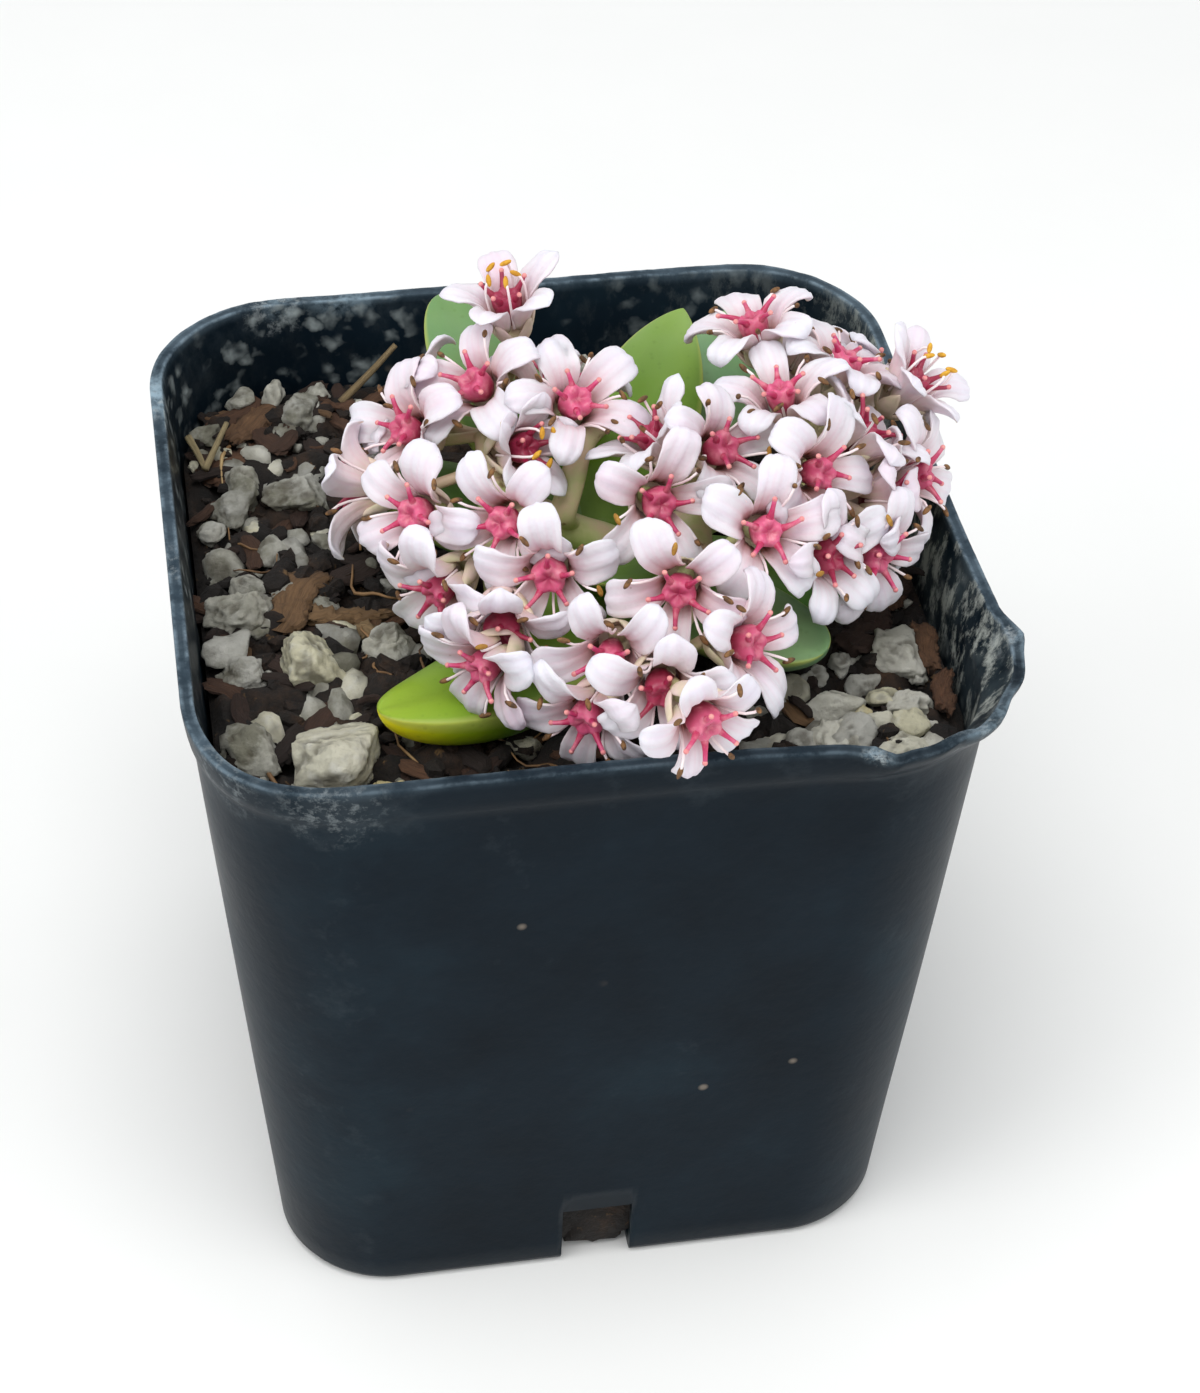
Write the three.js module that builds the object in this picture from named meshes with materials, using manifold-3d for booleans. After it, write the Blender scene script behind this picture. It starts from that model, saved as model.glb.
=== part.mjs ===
// Potted springtime crassula: two dense heads of pale pink blooms over thick keeled leaves,
// in a small square nursery pot filled with peat, bark chips and pumice.
// Millimetres, +Z up, origin at the centre of the base on the ground, front towards -Y.

import * as THREE from 'three';
import { mergeVertices } from 'three/addons/utils/BufferGeometryUtils.js';
import Module from 'manifold-3d';

const wasm = await Module();
wasm.setup();

// Square pot with rounded corners, its rim band and the drain slot in the middle of each side
const pot = {
  height: 56.5,
  rimWidth: 56,
  baseWidth: 47.2,
  rimCorner: 10.6,
  baseCorner: 8.4,
  wall: 0.8,
  floor: 1.3,
  footRadius: 0.9,
  bandHeight: 3.2,
  bandProud: 0.4,
  lipThick: 1.4,
  lipRound: 0.35,
  slotWidth: 5.4,
  slotHeight: 6.6,
  slotReach: 4,
  cornerSteps: 5,
};

// The rim is bent outwards and a little down round its right front corner
const bentLip = { at: [24, -22], reach: 11, out: 1, down: 0.5, depth: 5 };

// Soil surface, its relief, and the clearance that separate pieces keep
const soil = { top: 49.2, relief: 0.55, edgeDrop: 0.5, rings: 5 };
const clearance = 0.3;

// Short woody stem that carries the leaves and both flower stalks
const stem = { at: [4, -3], root: 41, fork: 54.5, lowRadius: 2.7, topRadius: 1.9, sides: 8 };

// Run of every leaf's width from the stem to the tip: where it is widest, its share at the stem and
// how squarely it rounds off; how far its middle line sags, and where its sections stand
const leafRun = {
  widest: 0.42,
  rootShare: 0.7,
  squareness: 2.3,
  sag: 0.3,
  stations: [0, 0.14, 0.32, 0.52, 0.7, 0.84, 0.95],
};

// Leaves, lowest first: tip, height of the middle line at the stem, sideways bow of the middle
// line, half width, rise of the upper face, depth of the keel, and how pointed the end is
const leaves = [
  {
    name: 'leaf_front_left', tip: [-14.9, -17, 53.6], from: 53.2,
    bow: 3, half: 4.9, crown: 1.6, keel: 4.4, point: 0.5,
  },
  {
    name: 'leaf_back_right', tip: [16.5, 19.5, 58], from: 52.8,
    bow: 0, half: 4.9, crown: 1.6, keel: 3.4, point: 0.6,
  },
  {
    name: 'leaf_right', tip: [20.4, -9, 53.4], from: 53,
    bow: 0, half: 4.4, crown: 1.6, keel: 3.2, point: 0.6,
  },
  {
    name: 'leaf_left', tip: [-13, 7.2, 55.5], from: 53.4,
    bow: 0, half: 4.3, crown: 1.6, keel: 3.2, point: 0.6,
  },
  {
    name: 'leaf_left_back', tip: [-6, 18.2, 62.5], from: 54,
    bow: 0.5, half: 4.3, crown: 1.4, keel: 2.8, point: 0.5,
  },
  {
    name: 'leaf_front_right', tip: [15.8, -17.2, 55.3], from: 54,
    bow: -0.5, half: 4.4, crown: 1.5, keel: 2.8, point: 0.5,
  },
  {
    name: 'leaf_upper_back', tip: [11.8, 15.4, 61.5], from: 55.2,
    bow: 0.9, half: 4.2, crown: 1.2, keel: 2.6, point: 0.6,
  },
  {
    name: 'leaf_upper_front', tip: [1.8, -13.2, 59.5], from: 55.2,
    bow: 0, half: 3.4, crown: 1.2, keel: 2, point: 0.6,
  },
];

// One bloom: five petals on a short cone-shaped cup round a rose pistil of five carpels
const bloom = {
  petals: 5,
  petalLength: 4.85,
  youngLength: 0.82,
  petalStations: [0, 0.42, 0.84, 1],
  petalHalfWidths: [0, 1.5, 1.4, 0],
  tipThickness: 0.2,
  cupRadius: 1.75,
  cupDepth: 1.1,
  calyxDepth: 2.9,
  petalKeel: 0.75,
  pistilRadius: 1.15,
  pistilTop: 0.9,
  styleReach: 1.65,
  styleHeight: 1.5,
  pedicelRadius: 0.45,
  pedicelBend: 3.2,
};

// Slope of a petal's middle line against the face of the bloom, where it leaves the cup and at its
// tip, in a bud that has just opened and in a full bloom, and how late along it the slope turns
const petalCurve = { young: [80, 35], full: [62, -55], lateness: 1.4, stepsBetween: 8 };

// Places of the blooms, bunch by bunch: centre of the pistil from the middle of the rim plane,
// then bearing and tilt of the way it faces, turn of its petals, and how far it has opened
const leftUpper = [
  [-2.5, 8, 11.8, 180, 80, 20, 0.5],
  [-5.5, 2.5, 9, -155, 50, 0, 1],
  [1, -0.5, 9, -65, 60, 40, 0.9],
  [-10.5, 2, 6, -160, 35, 65, 1],
  [-3, -2.5, 7, -50, 30, 30, 0.2],
  [-14, 1, 2, 160, -5, 10, 0.9],
  [-9.5, 6.5, 5, 150, 25, 15, 1],
  [0.5, 4.5, 6.5, 70, 25, 40, 1],
];
const leftLower = [
  [-11, -7.5, 6, -140, 25, 40, 1],
  [-5.5, -11, 7.5, -130, 25, 25, 1],
  [-3, -15, 6, -105, 10, 10, 1],
  [-10, -12, 3, -140, -10, 50, 1],
  [-6.5, -17, 3.5, -100, -10, 10, 0.8],
  [-8, -19.5, 2.5, -140, -5, 60, 1],
];
const rightUpper = [
  [6, -4, 8, 165, 50, 35, 0.4],
  [10, -7, 9, -45, 45, 30, 0.9],
  [5, -11, 8, -80, 25, 5, 1],
  [15, -3, 10, 160, 80, 15, 0.9],
  [14.5, 4, 11, 140, 70, 20, 1],
  [20.5, 1.5, 9, 20, 60, 50, 1],
  [25.5, 0.5, 7.5, -10, 50, 15, 0.4],
  [20.5, -5.5, 8, 15, 45, 60, 0.7],
  [16, -10.5, 9, -50, 25, 10, 1],
  [11.5, -15, 8, -80, 35, 15, 1],
  [16, -14.5, 5, -50, 20, 45, 0.7],
  [20, -12.5, 3, -55, 5, 20, 1],
  [24.6, -5.7, 4.2, -25, 20, 10, 1],
  [21.5, -8.5, 4.5, -15, 5, 40, 0.9],
  [18, 8, 6, 60, 60, 30, 1],
  [24, 5.5, 4, 30, 25, 60, 1],
];
const rightLower = [
  [5, -19, 7, -110, 15, 32, 1],
  [0, -21.5, 4, -110, 5, 29, 1],
  [9, -22, 4.5, -45, 20, 30, 1],
  [2.8, -25, 4, -95, 5, 0, 0.8],
  [-1.7, -23.5, 0.8, -125, -10, 10, 0.9],
];

// A single bloom on a longer pedicel hangs out over the front rim
const overRim = [[4.7, -29.2, 4.7, -70, -3, 56, 1]];

// Branches of each flower stalk, from the fork outwards, in the same frame as the blooms
const leftBranches = [
  [[4, -3, -2.5], [-0.5, -3, 0.5], [-4.5, -2, 3], [-5, 2, 5]],
  [[-4.5, -2, 3], [-5.5, -8, 2], [-6, -13, 1]],
];
const rightBranches = [
  [[4, -3, -2.5], [8.5, -5, 1], [14, -5, 4], [18, -1, 5]],
  [[8.5, -5, 1], [7.5, -12, 2], [4.5, -18, 1.5], [4.2, -22.5, 2]],
];
const branchRadius = { start: 1.5, end: 0.8, sides: 5 };

// Pumice on the soil: plan place and width of each piece
const pumice = [
  [-18.3, -18.3, 7], [-23.4, -16.6, 4.4], [-13.6, -22.6, 4.4], [-18.4, -8.2, 5.4], [-22.8, -1.6, 4.6],
  [-22.8, 10.8, 3.6], [-17.8, 11.8, 4.6], [-12.6, -6.6, 3.6], [-23.6, -8, 3], [22.2, -12.5, 4.6],
  [15.8, -20.6, 4.2], [20.4, -22.2, 3.8], [22, -17.6, 3], [11.6, -23, 3.4], [-16.5, 22, 3.6],
  [22.8, 5, 4], [20.5, 16.5, 3.8], [6, 23.5, 3.8], [-3.5, 22.4, 3.4],
];

// Ranges that a stone's shape is drawn from: length, breadth and height against its width, lumps
// of its surface, and rise of its centre above the soil; the widest stones have more faces
const stoneShape = {
  stretch: [[0.92, 1], [0.8, 1], [0.7, 0.85]],
  lumps: [0.86, 1.04],
  lift: [0.2, 0.35],
  fineFrom: 4.8,
};

// Bark chips and twigs lying on the soil: plan place, length, width, thickness and bearing
const woodBits = [
  { name: 'bark_chip_left', at: [-21.4, 17], size: [7, 4.2, 1], bearing: 20 },
  { name: 'bark_chip_right', at: [24, -3.2], size: [6, 3, 1.2], bearing: 80 },
  { name: 'twig_back', at: [-9.5, 20.5], size: [8, 1.2, 1.2], bearing: 50 },
  { name: 'twig_left', at: [-16, -2.6], size: [7, 1.6, 1.4], bearing: -12 },
];

const colours = {
  pot: [0x20282f, 0.42],
  soil: [0x3a2a20, 0.95],
  pumice: [0xd8d0be, 0.92],
  wood: [0x5c3a24, 0.85],
  leaf: [0x86a84a, 0.45],
  stalk: [0xc9506f, 0.5],
  petal: [0xf6e4e8, 0.55],
};

const up = new THREE.Vector3(0, 0, 1);
const radians = THREE.MathUtils.degToRad;
const mix = THREE.MathUtils.lerp;

// Seeded draw between 0 and 1, the same list of numbers each run
function seededDraw(seed) {
  let state = seed;
  return () => {
    state = (state * 1664525 + 1013904223) % 4294967296;
    return state / 4294967296;
  };
}

// Closed body through a list of rings with the same number of points, each counter-clockwise
// seen from the next one. A ring of one point is a tip; any other end is capped by a fan.
function loft(rings) {
  const positions = [];
  const faces = [];
  const starts = rings.map((ring) => {
    const start = positions.length / 3;
    ring.forEach((point) => positions.push(point.x, point.y, point.z));
    return start;
  });
  const edgeOf = (i, from, to) => {
    const start = starts[i];
    return rings[i].length === 1 ? [start, start] : [start + from, start + to];
  };
  for (let i = 0; i + 1 < rings.length; i += 1) {
    const count = Math.max(rings[i].length, rings[i + 1].length);
    for (let j = 0; j < count; j += 1) {
      const next = (j + 1) % count;
      const near = edgeOf(i, j, next);
      const far = edgeOf(i + 1, j, next);
      if (near[0] !== near[1]) faces.push(near[0], near[1], far[1]);
      if (far[0] !== far[1]) faces.push(near[0], far[1], far[0]);
    }
  }
  const last = rings.length - 1;
  for (let j = 1; j + 1 < rings[0].length; j += 1) {
    faces.push(starts[0], starts[0] + j + 1, starts[0] + j);
  }
  for (let j = 1; j + 1 < rings[last].length; j += 1) {
    faces.push(starts[last], starts[last] + j, starts[last] + j + 1);
  }
  const geometry = new THREE.BufferGeometry();
  geometry.setAttribute('position', new THREE.Float32BufferAttribute(positions, 3));
  geometry.setIndex(faces);
  return geometry;
}

// Round tube along a list of points, with a radius at each point; a radius of 0 ends in a tip
function tube(points, radii, sides) {
  const first = points[1].clone().sub(points[0]).normalize();
  let side = new THREE.Vector3(first.z, first.x, first.y).cross(first).normalize();
  const rings = points.map((point, i) => {
    const ahead = points[Math.min(i + 1, points.length - 1)];
    const behind = points[Math.max(i - 1, 0)];
    const along = ahead.clone().sub(behind).normalize();
    side = side.clone().addScaledVector(along, -side.dot(along)).normalize();
    const other = along.clone().cross(side);
    if (radii[i] === 0) return [point.clone()];
    return Array.from({ length: sides }, (_, k) => {
      const angle = (2 * Math.PI * k) / sides;
      return point.clone()
        .addScaledVector(side, radii[i] * Math.cos(angle))
        .addScaledVector(other, radii[i] * Math.sin(angle));
    });
  });
  return loft(rings);
}

// three.js geometry to a solid for cutting and joining, and back
function solidOf(geometry) {
  const bare = geometry.clone();
  bare.deleteAttribute('normal');
  bare.deleteAttribute('uv');
  const merged = mergeVertices(bare, 1e-4);
  return new wasm.Manifold(new wasm.Mesh({
    numProp: 3,
    vertProperties: new Float32Array(merged.attributes.position.array),
    triVerts: new Uint32Array(merged.index.array),
  }));
}

function geometryOf(solid) {
  const mesh = solid.getMesh();
  const geometry = new THREE.BufferGeometry();
  geometry.setAttribute('position', new THREE.Float32BufferAttribute(mesh.vertProperties, 3));
  geometry.setIndex(Array.from(mesh.triVerts));
  return geometry;
}

const join = (solids) => wasm.Manifold.union(solids);

// The biggest body of a solid: cutting leaves a few loose crumbs, which are dropped
function biggestBody(solid) {
  return solid.decompose().reduce((best, body) => (body.volume() > best.volume() ? body : best));
}

// Rounded square outline, counter-clockwise from above
function roundedSquare(half, corner, z, steps = pot.cornerSteps) {
  const centre = half - corner;
  const outline = [];
  [[1, 1], [-1, 1], [-1, -1], [1, -1]].forEach(([sx, sy], quarter) => {
    for (let i = 0; i <= steps; i += 1) {
      const angle = (quarter + i / steps) * (Math.PI / 2);
      const x = sx * centre + corner * Math.cos(angle);
      const y = sy * centre + corner * Math.sin(angle);
      outline.push(new THREE.Vector3(x, y, z));
    }
  });
  return outline;
}

// Half width and corner radius of the tapered wall's outside at a height
const wallHalf = (z) => mix(pot.baseWidth / 2, pot.rimWidth / 2 - pot.bandProud, z / pot.height);
const wallCorner = (z) => mix(pot.baseCorner, pot.rimCorner - pot.bandProud, z / pot.height);

// Outline at a height, moved in from the wall's outside by an inset
function wallRing(z, inset) {
  return roundedSquare(wallHalf(z) - inset, wallCorner(z) - inset, z);
}

// Bends the lip round the right front corner: most at the rim, nothing below the band
function bendLip(point) {
  const reach = Math.hypot(point.x - bentLip.at[0], point.y - bentLip.at[1]) / bentLip.reach;
  const rise = THREE.MathUtils.smoothstep(point.z, pot.height - bentLip.depth, pot.height);
  const share = Math.exp(-reach * reach) * rise;
  point.x += bentLip.out * share * Math.SQRT1_2;
  point.y -= bentLip.out * share * Math.SQRT1_2;
  point.z -= bentLip.down * share;
  return point;
}

// The four drain slots, or the plugs of soil in them: each L-shaped opening takes in the foot of
// the wall and the edge of the floor. The plugs are drawn in from the slot by the inset.
function drainSlots(inset) {
  const baseHalf = pot.baseWidth / 2;
  const past = inset > 0 ? -0.5 : 2;
  const depth = pot.slotReach + past - inset;
  const foot = inset > 0 ? inset : -1;
  const height = pot.slotHeight - inset - foot;
  const boxes = [0, 1, 2, 3].map((quarter) => {
    const box = new THREE.BoxGeometry(pot.slotWidth - 2 * inset, depth, height);
    box.translate(0, -baseHalf - past + depth / 2, foot + height / 2);
    box.rotateZ(quarter * (Math.PI / 2));
    return solidOf(box);
  });
  return join(boxes);
}

function buildPot() {
  const bandFoot = pot.height - pot.bandHeight;
  const rings = [
    wallRing(0, pot.footRadius),
    wallRing(pot.footRadius * 0.3, pot.footRadius * 0.3),
    wallRing(pot.footRadius, 0),
    wallRing(bandFoot, 0),
    wallRing(bandFoot + pot.bandProud, -pot.bandProud),
    wallRing(pot.height - pot.lipRound, -pot.bandProud),
    wallRing(pot.height, pot.lipRound - pot.bandProud),
    wallRing(pot.height, pot.lipThick - pot.bandProud - pot.lipRound),
    wallRing(pot.height - pot.lipRound, pot.lipThick - pot.bandProud),
    wallRing(bandFoot, pot.lipThick - pot.bandProud),
    wallRing(bandFoot - pot.bandProud, pot.wall),
    wallRing(pot.floor, pot.wall),
  ].map((ring) => ring.map(bendLip));
  const shell = solidOf(loft(rings));

  return shell.subtract(drainSlots(0));
}

// Height of the soil at a plan point: soft hummocks made of three crossed waves
function ground(x, y) {
  const broad = 0.5 * Math.sin(0.31 * x + 1.3) * Math.cos(0.27 * y + 0.4);
  const medium = 0.3 * Math.sin(0.8 * x - 0.55 * y);
  const fine = 0.2 * Math.sin(1.1 * y + 0.4 * x + 2);
  return soil.top + soil.relief * (broad + medium + fine);
}

function buildSoil() {
  const inset = pot.wall + clearance;
  const edgeHeight = soil.top - soil.edgeDrop;
  const rings = [wallRing(pot.floor + clearance, inset), wallRing(edgeHeight, inset)];
  const edge = rings[1];
  for (let i = soil.rings - 1; i > 0; i -= 1) {
    rings.push(edge.map((point) => {
      const x = (point.x * i) / soil.rings;
      const y = (point.y * i) / soil.rings;
      return new THREE.Vector3(x, y, ground(x, y));
    }));
  }
  rings.push([new THREE.Vector3(0, 0, ground(0, 0))]);
  return solidOf(loft(rings)).add(drainSlots(clearance));
}

// Lumpy stone: an icosahedron whose points are drawn in and out, flattened a little
function stoneSolid([x, y, width], seed, grow) {
  const draw = seededDraw(seed);
  const ball = new THREE.IcosahedronGeometry(1, width > stoneShape.fineFrom ? 1 : 0);
  const stone = mergeVertices(ball.deleteAttribute('normal').deleteAttribute('uv'));
  const points = stone.attributes.position;
  const radius = width / 2;
  const stretch = new THREE.Vector3(...stoneShape.stretch.map((range) => mix(...range, draw())));
  const turn = draw() * Math.PI;
  const lift = mix(...stoneShape.lift, draw()) * radius;
  for (let i = 0; i < points.count; i += 1) {
    const point = new THREE.Vector3().fromBufferAttribute(points, i);
    point.multiplyScalar(mix(...stoneShape.lumps, draw()) * radius + grow);
    point.multiply(stretch).applyAxisAngle(up, turn);
    point.add(new THREE.Vector3(x, y, ground(x, y) + lift));
    points.setXYZ(i, point.x, point.y, point.z);
  }
  return solidOf(stone);
}

// Split piece of bark or twig: a flat tapered bar with ragged ends, half bedded in the soil
function woodSolid({ at, size, bearing }, seed, grow) {
  const draw = seededDraw(seed);
  const stations = [-0.5, -0.32, 0, 0.3, 0.5];
  const sides = 6;
  const rings = stations.map((station) => {
    const narrow = mix(0.7, 1, draw()) * (Math.abs(station) > 0.4 ? 0.6 : 1);
    return Array.from({ length: sides }, (_, k) => {
      const angle = (2 * Math.PI * (k + 0.5)) / sides;
      const lengthwise = station * (size[0] + 2 * grow) + mix(-0.2, 0.2, draw());
      const across = Math.cos(angle) * (0.5 * size[1] * narrow + grow);
      const high = Math.sin(angle) * (0.5 * size[2] * narrow + grow);
      return new THREE.Vector3(lengthwise, across, high);
    });
  });
  const bar = loft(rings);
  bar.rotateZ(radians(bearing));
  bar.translate(at[0], at[1], ground(at[0], at[1]) + 0.25 * size[2]);
  return solidOf(bar);
}

function stemSolid(grow) {
  const [x, y] = stem.at;
  const heights = [stem.root - grow, mix(stem.root, stem.fork, 0.5), stem.fork + grow];
  const points = heights.map((z) => new THREE.Vector3(x, y, z));
  const radii = [stem.lowRadius + grow, stem.lowRadius + grow, stem.topRadius + grow];
  return solidOf(tube(points, radii, stem.sides));
}

// Share of a leaf's full width at a place along it, 0 at the stem and 1 at the tip: widest a
// little before the middle, then rounding off to a blunt or pointed end
function leafTaper(along, point) {
  const { widest, rootShare, squareness } = leafRun;
  if (along < widest) return mix(rootShare, 1, Math.sin((along / widest) * (Math.PI / 2)));
  return (1 - ((along - widest) / (1 - widest)) ** squareness) ** point;
}

// Boat-shaped leaf: low crown above, deep keel below, sharp margins, on a gently arched middle line
function leafSolid(leaf, grow) {
  const root = new THREE.Vector3(stem.at[0], stem.at[1], leaf.from);
  const tip = new THREE.Vector3(...leaf.tip);
  const outwards = tip.clone().sub(root).setZ(0).normalize();
  const aside = new THREE.Vector3(-outwards.y, outwards.x, 0);
  root.add(outwards);
  const middle = (along) => {
    const arch = 4 * along * (1 - along);
    const point = root.clone().lerp(tip, along).addScaledVector(aside, leaf.bow * arch);
    point.z -= leafRun.sag * arch;
    return point;
  };
  const outline = [
    [1, 0], [0.6, 0.72], [0, 1], [-0.6, 0.72], [-1, 0], [-0.72, -0.62], [0, -1], [0.72, -0.62],
  ];
  const rings = leafRun.stations.map((along) => {
    const centre = middle(along);
    const tangent = middle(along + 0.01).sub(centre).normalize();
    const across = aside.clone().addScaledVector(tangent, -aside.dot(tangent)).normalize();
    const normal = tangent.clone().cross(across);
    const half = leaf.half * leafTaper(along, leaf.point) + grow;
    const crown = leaf.crown * leafTaper(along, leaf.point) + grow;
    const keel = leaf.keel * leafTaper(along, leaf.point) + grow;
    return outline.map(([u, v]) => centre.clone()
      .addScaledVector(across, u * half)
      .addScaledVector(normal, v * (v > 0 ? crown : keel)));
  });
  return solidOf(loft([...rings, [tip.addScaledVector(outwards, grow)]]));
}

// Local frame of a bloom: centre of its pistil, the way it faces, and two directions across
function bloomFrame([x, y, z, bearing, tilt, turn, open]) {
  const facing = new THREE.Vector3(
    Math.cos(radians(tilt)) * Math.cos(radians(bearing)),
    Math.cos(radians(tilt)) * Math.sin(radians(bearing)),
    Math.sin(radians(tilt)),
  );
  const spin = new THREE.Quaternion().setFromAxisAngle(facing, radians(turn));
  const swing = spin.multiply(new THREE.Quaternion().setFromUnitVectors(up, facing));
  const first = new THREE.Vector3(1, 0, 0).applyQuaternion(swing);
  const second = facing.clone().cross(first);
  return { centre: new THREE.Vector3(x, y, z + pot.height), facing, first, second, open };
}

function placeIn(frame, angle, reach, height) {
  return frame.centre.clone()
    .addScaledVector(frame.first, reach * Math.cos(angle))
    .addScaledVector(frame.second, reach * Math.sin(angle))
    .addScaledVector(frame.facing, height);
}

// Sections of a petal: a three-sided blade, flat inside and keeled outside. Its middle line leaves
// the cup steeply and curls back towards the tip; a young bloom's petals stay upright and short.
function petalSections(frame, index, grow) {
  const angle = (2 * Math.PI * index) / bloom.petals;
  const { young, full, lateness, stepsBetween } = petalCurve;
  const startSlope = radians(mix(young[0], full[0], frame.open));
  const endSlope = radians(mix(young[1], full[1], frame.open));
  const length = bloom.petalLength * mix(bloom.youngLength, 1, frame.open);
  const outwards = placeIn(frame, angle, 1, 0).sub(frame.centre);
  const across = placeIn(frame, angle + Math.PI / 2, 1, 0).sub(frame.centre);
  const stations = bloom.petalStations;
  let reach = bloom.cupRadius;
  let height = -bloom.cupDepth;
  let walked = 0;
  return stations.map((station, i) => {
    for (let k = 0; k < stepsBetween && i > 0; k += 1) {
      const step = (station - stations[i - 1]) / stepsBetween;
      const slopeHere = mix(startSlope, endSlope, (walked + step / 2) ** lateness);
      reach += length * step * Math.cos(slopeHere);
      height += length * step * Math.sin(slopeHere);
      walked += step;
    }
    const slope = mix(startSlope, endSlope, station ** lateness);
    const inside = outwards.clone().multiplyScalar(-Math.sin(slope))
      .addScaledVector(frame.facing, Math.cos(slope));
    const middle = placeIn(frame, angle, reach, height);
    const keel = middle.clone().addScaledVector(inside, -bloom.petalKeel - grow);
    if (station === 0) return [keel];
    if (station === 1) return [middle.addScaledVector(inside, -bloom.tipThickness)];
    const half = bloom.petalHalfWidths[i] + grow;
    middle.addScaledVector(inside, grow);
    return [
      keel,
      middle.clone().addScaledVector(across, half),
      middle.clone().addScaledVector(across, -half),
    ];
  });
}

// Corolla as one closed body: the petals share the corners of a five-sided cup floor, and the
// outside of the cup runs down to a point inside the pedicel
function corollaSolid(frame, grow) {
  const half = Math.PI / bloom.petals;
  const cornerReach = bloom.cupRadius / Math.cos(half);
  const points = [placeIn(frame, 0, 0, -bloom.calyxDepth - 2 * grow)];
  for (let i = 0; i < bloom.petals; i += 1) {
    points.push(placeIn(frame, (2 * i - 1) * half, cornerReach, -bloom.cupDepth));
  }
  const faces = [[1, 2, 3], [1, 3, 4], [1, 4, 5]];
  for (let i = 0; i < bloom.petals; i += 1) {
    const corner = 1 + i;
    const nextCorner = 1 + ((i + 1) % bloom.petals);
    const [[rootKeel], ...sections] = petalSections(frame, i, grow);
    points.push(rootKeel);
    let ring = [points.length - 1, nextCorner, corner];
    faces.push([ring[0], corner, 0], [nextCorner, ring[0], 0]);
    sections.forEach((section) => {
      const start = points.length;
      points.push(...section);
      const next = section.length === 1 ? [start, start, start] : [start, start + 1, start + 2];
      for (let j = 0; j < 3; j += 1) {
        const k = (j + 1) % 3;
        faces.push([ring[j], ring[k], next[k]]);
        if (section.length > 1) faces.push([ring[j], next[k], next[j]]);
      }
      ring = next;
    });
  }
  const geometry = new THREE.BufferGeometry().setFromPoints(points);
  geometry.setIndex(faces.flat());
  return solidOf(geometry);
}

// Nearest point to a bloom on its head's branches
function nearestOnBranches(point, branches) {
  const target = new THREE.Vector3();
  let best = null;
  branches.forEach((branch) => {
    for (let i = 0; i + 1 < branch.length; i += 1) {
      new THREE.Line3(branch[i], branch[i + 1]).closestPointToPoint(point, true, target);
      if (!best || target.distanceTo(point) < best.distanceTo(point)) best = target.clone();
    }
  });
  return best;
}

// Pedicel, and the pistil on it: five carpels drawn as a five-cornered body that widens from the
// pedicel and flares into the styles, one corner over the middle of each petal
function pistilSolids(frame, branches, grow) {
  const bend = frame.centre.clone().addScaledVector(frame.facing, -bloom.pedicelBend + 0.3);
  const radius = bloom.pedicelRadius + grow;
  const pedicel = tube([nearestOnBranches(bend, branches), bend], [radius, radius], 3);
  const levels = [
    [bloom.pedicelRadius, -bloom.pedicelBend],
    [bloom.pistilRadius, 0.4],
    [bloom.styleReach, bloom.styleHeight + grow],
  ];
  const rings = levels.map(([reach, height]) => (
    Array.from({ length: bloom.petals }, (_, i) => (
      placeIn(frame, (2 * Math.PI * i) / bloom.petals, reach + grow, height)
    ))
  ));
  const hollow = placeIn(frame, 0, 0, bloom.pistilTop + grow);
  return [pedicel, loft([...rings, [hollow]])].map(solidOf);
}

function branchSolids(branches, grow) {
  return branches.map((points) => {
    const last = points.length - 1;
    const radii = points.map((_, i) => mix(branchRadius.start, branchRadius.end, i / last) + grow);
    return solidOf(tube(points, radii, branchRadius.sides));
  });
}

const toRimFrame = (branches) => branches.map((points) => (
  points.map(([x, y, z]) => new THREE.Vector3(x, y, z + pot.height))
));

// The bunches of blooms, each on the branches of its head
const bunches = [
  { name: 'left_upper_petals', places: leftUpper, branches: leftBranches },
  { name: 'left_lower_petals', places: leftLower, branches: leftBranches },
  { name: 'right_upper_petals', places: rightUpper, branches: rightBranches },
  { name: 'right_lower_petals', places: rightLower, branches: rightBranches },
  { name: 'rim_bloom_petals', places: overRim, branches: rightBranches },
].map(({ name, places, branches }) => ({
  name,
  frames: places.map(bloomFrame),
  branches: toRimFrame(branches),
}));

// Stem, flower stalks, pedicels and pistils, grown together as one body
function stalkSolid(grow) {
  const parts = [stemSolid(grow)];
  [leftBranches, rightBranches].forEach((branches) => {
    parts.push(...branchSolids(toRimFrame(branches), grow));
  });
  bunches.forEach((bunch) => {
    bunch.frames.forEach((frame) => parts.push(...pistilSolids(frame, bunch.branches, grow)));
  });
  return join(parts);
}

const petalsSolid = (bunch, grow) => join(bunch.frames.map((frame) => corollaSolid(frame, grow)));

const part = new THREE.Group();
part.name = 'potted_crassula';

function addPiece(name, solid, [colour, roughness]) {
  const material = new THREE.MeshStandardMaterial({ color: colour, roughness, metalness: 0 });
  const mesh = new THREE.Mesh(geometryOf(solid), material);
  mesh.name = name;
  part.add(mesh);
}

addPiece('pot', buildPot(), colours.pot);

// Leaves from the lowest up: each is trimmed to clear the stem and the leaves under it
const grownStem = stalkSolid(clearance);
const grownLeaves = [];
leaves.forEach((leaf) => {
  const trimmed = leafSolid(leaf, 0).subtract(join([grownStem, ...grownLeaves]));
  addPiece(leaf.name, biggestBody(trimmed), colours.leaf);
  grownLeaves.push(leafSolid(leaf, clearance));
});
const allLeavesGrown = join(grownLeaves);

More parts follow.
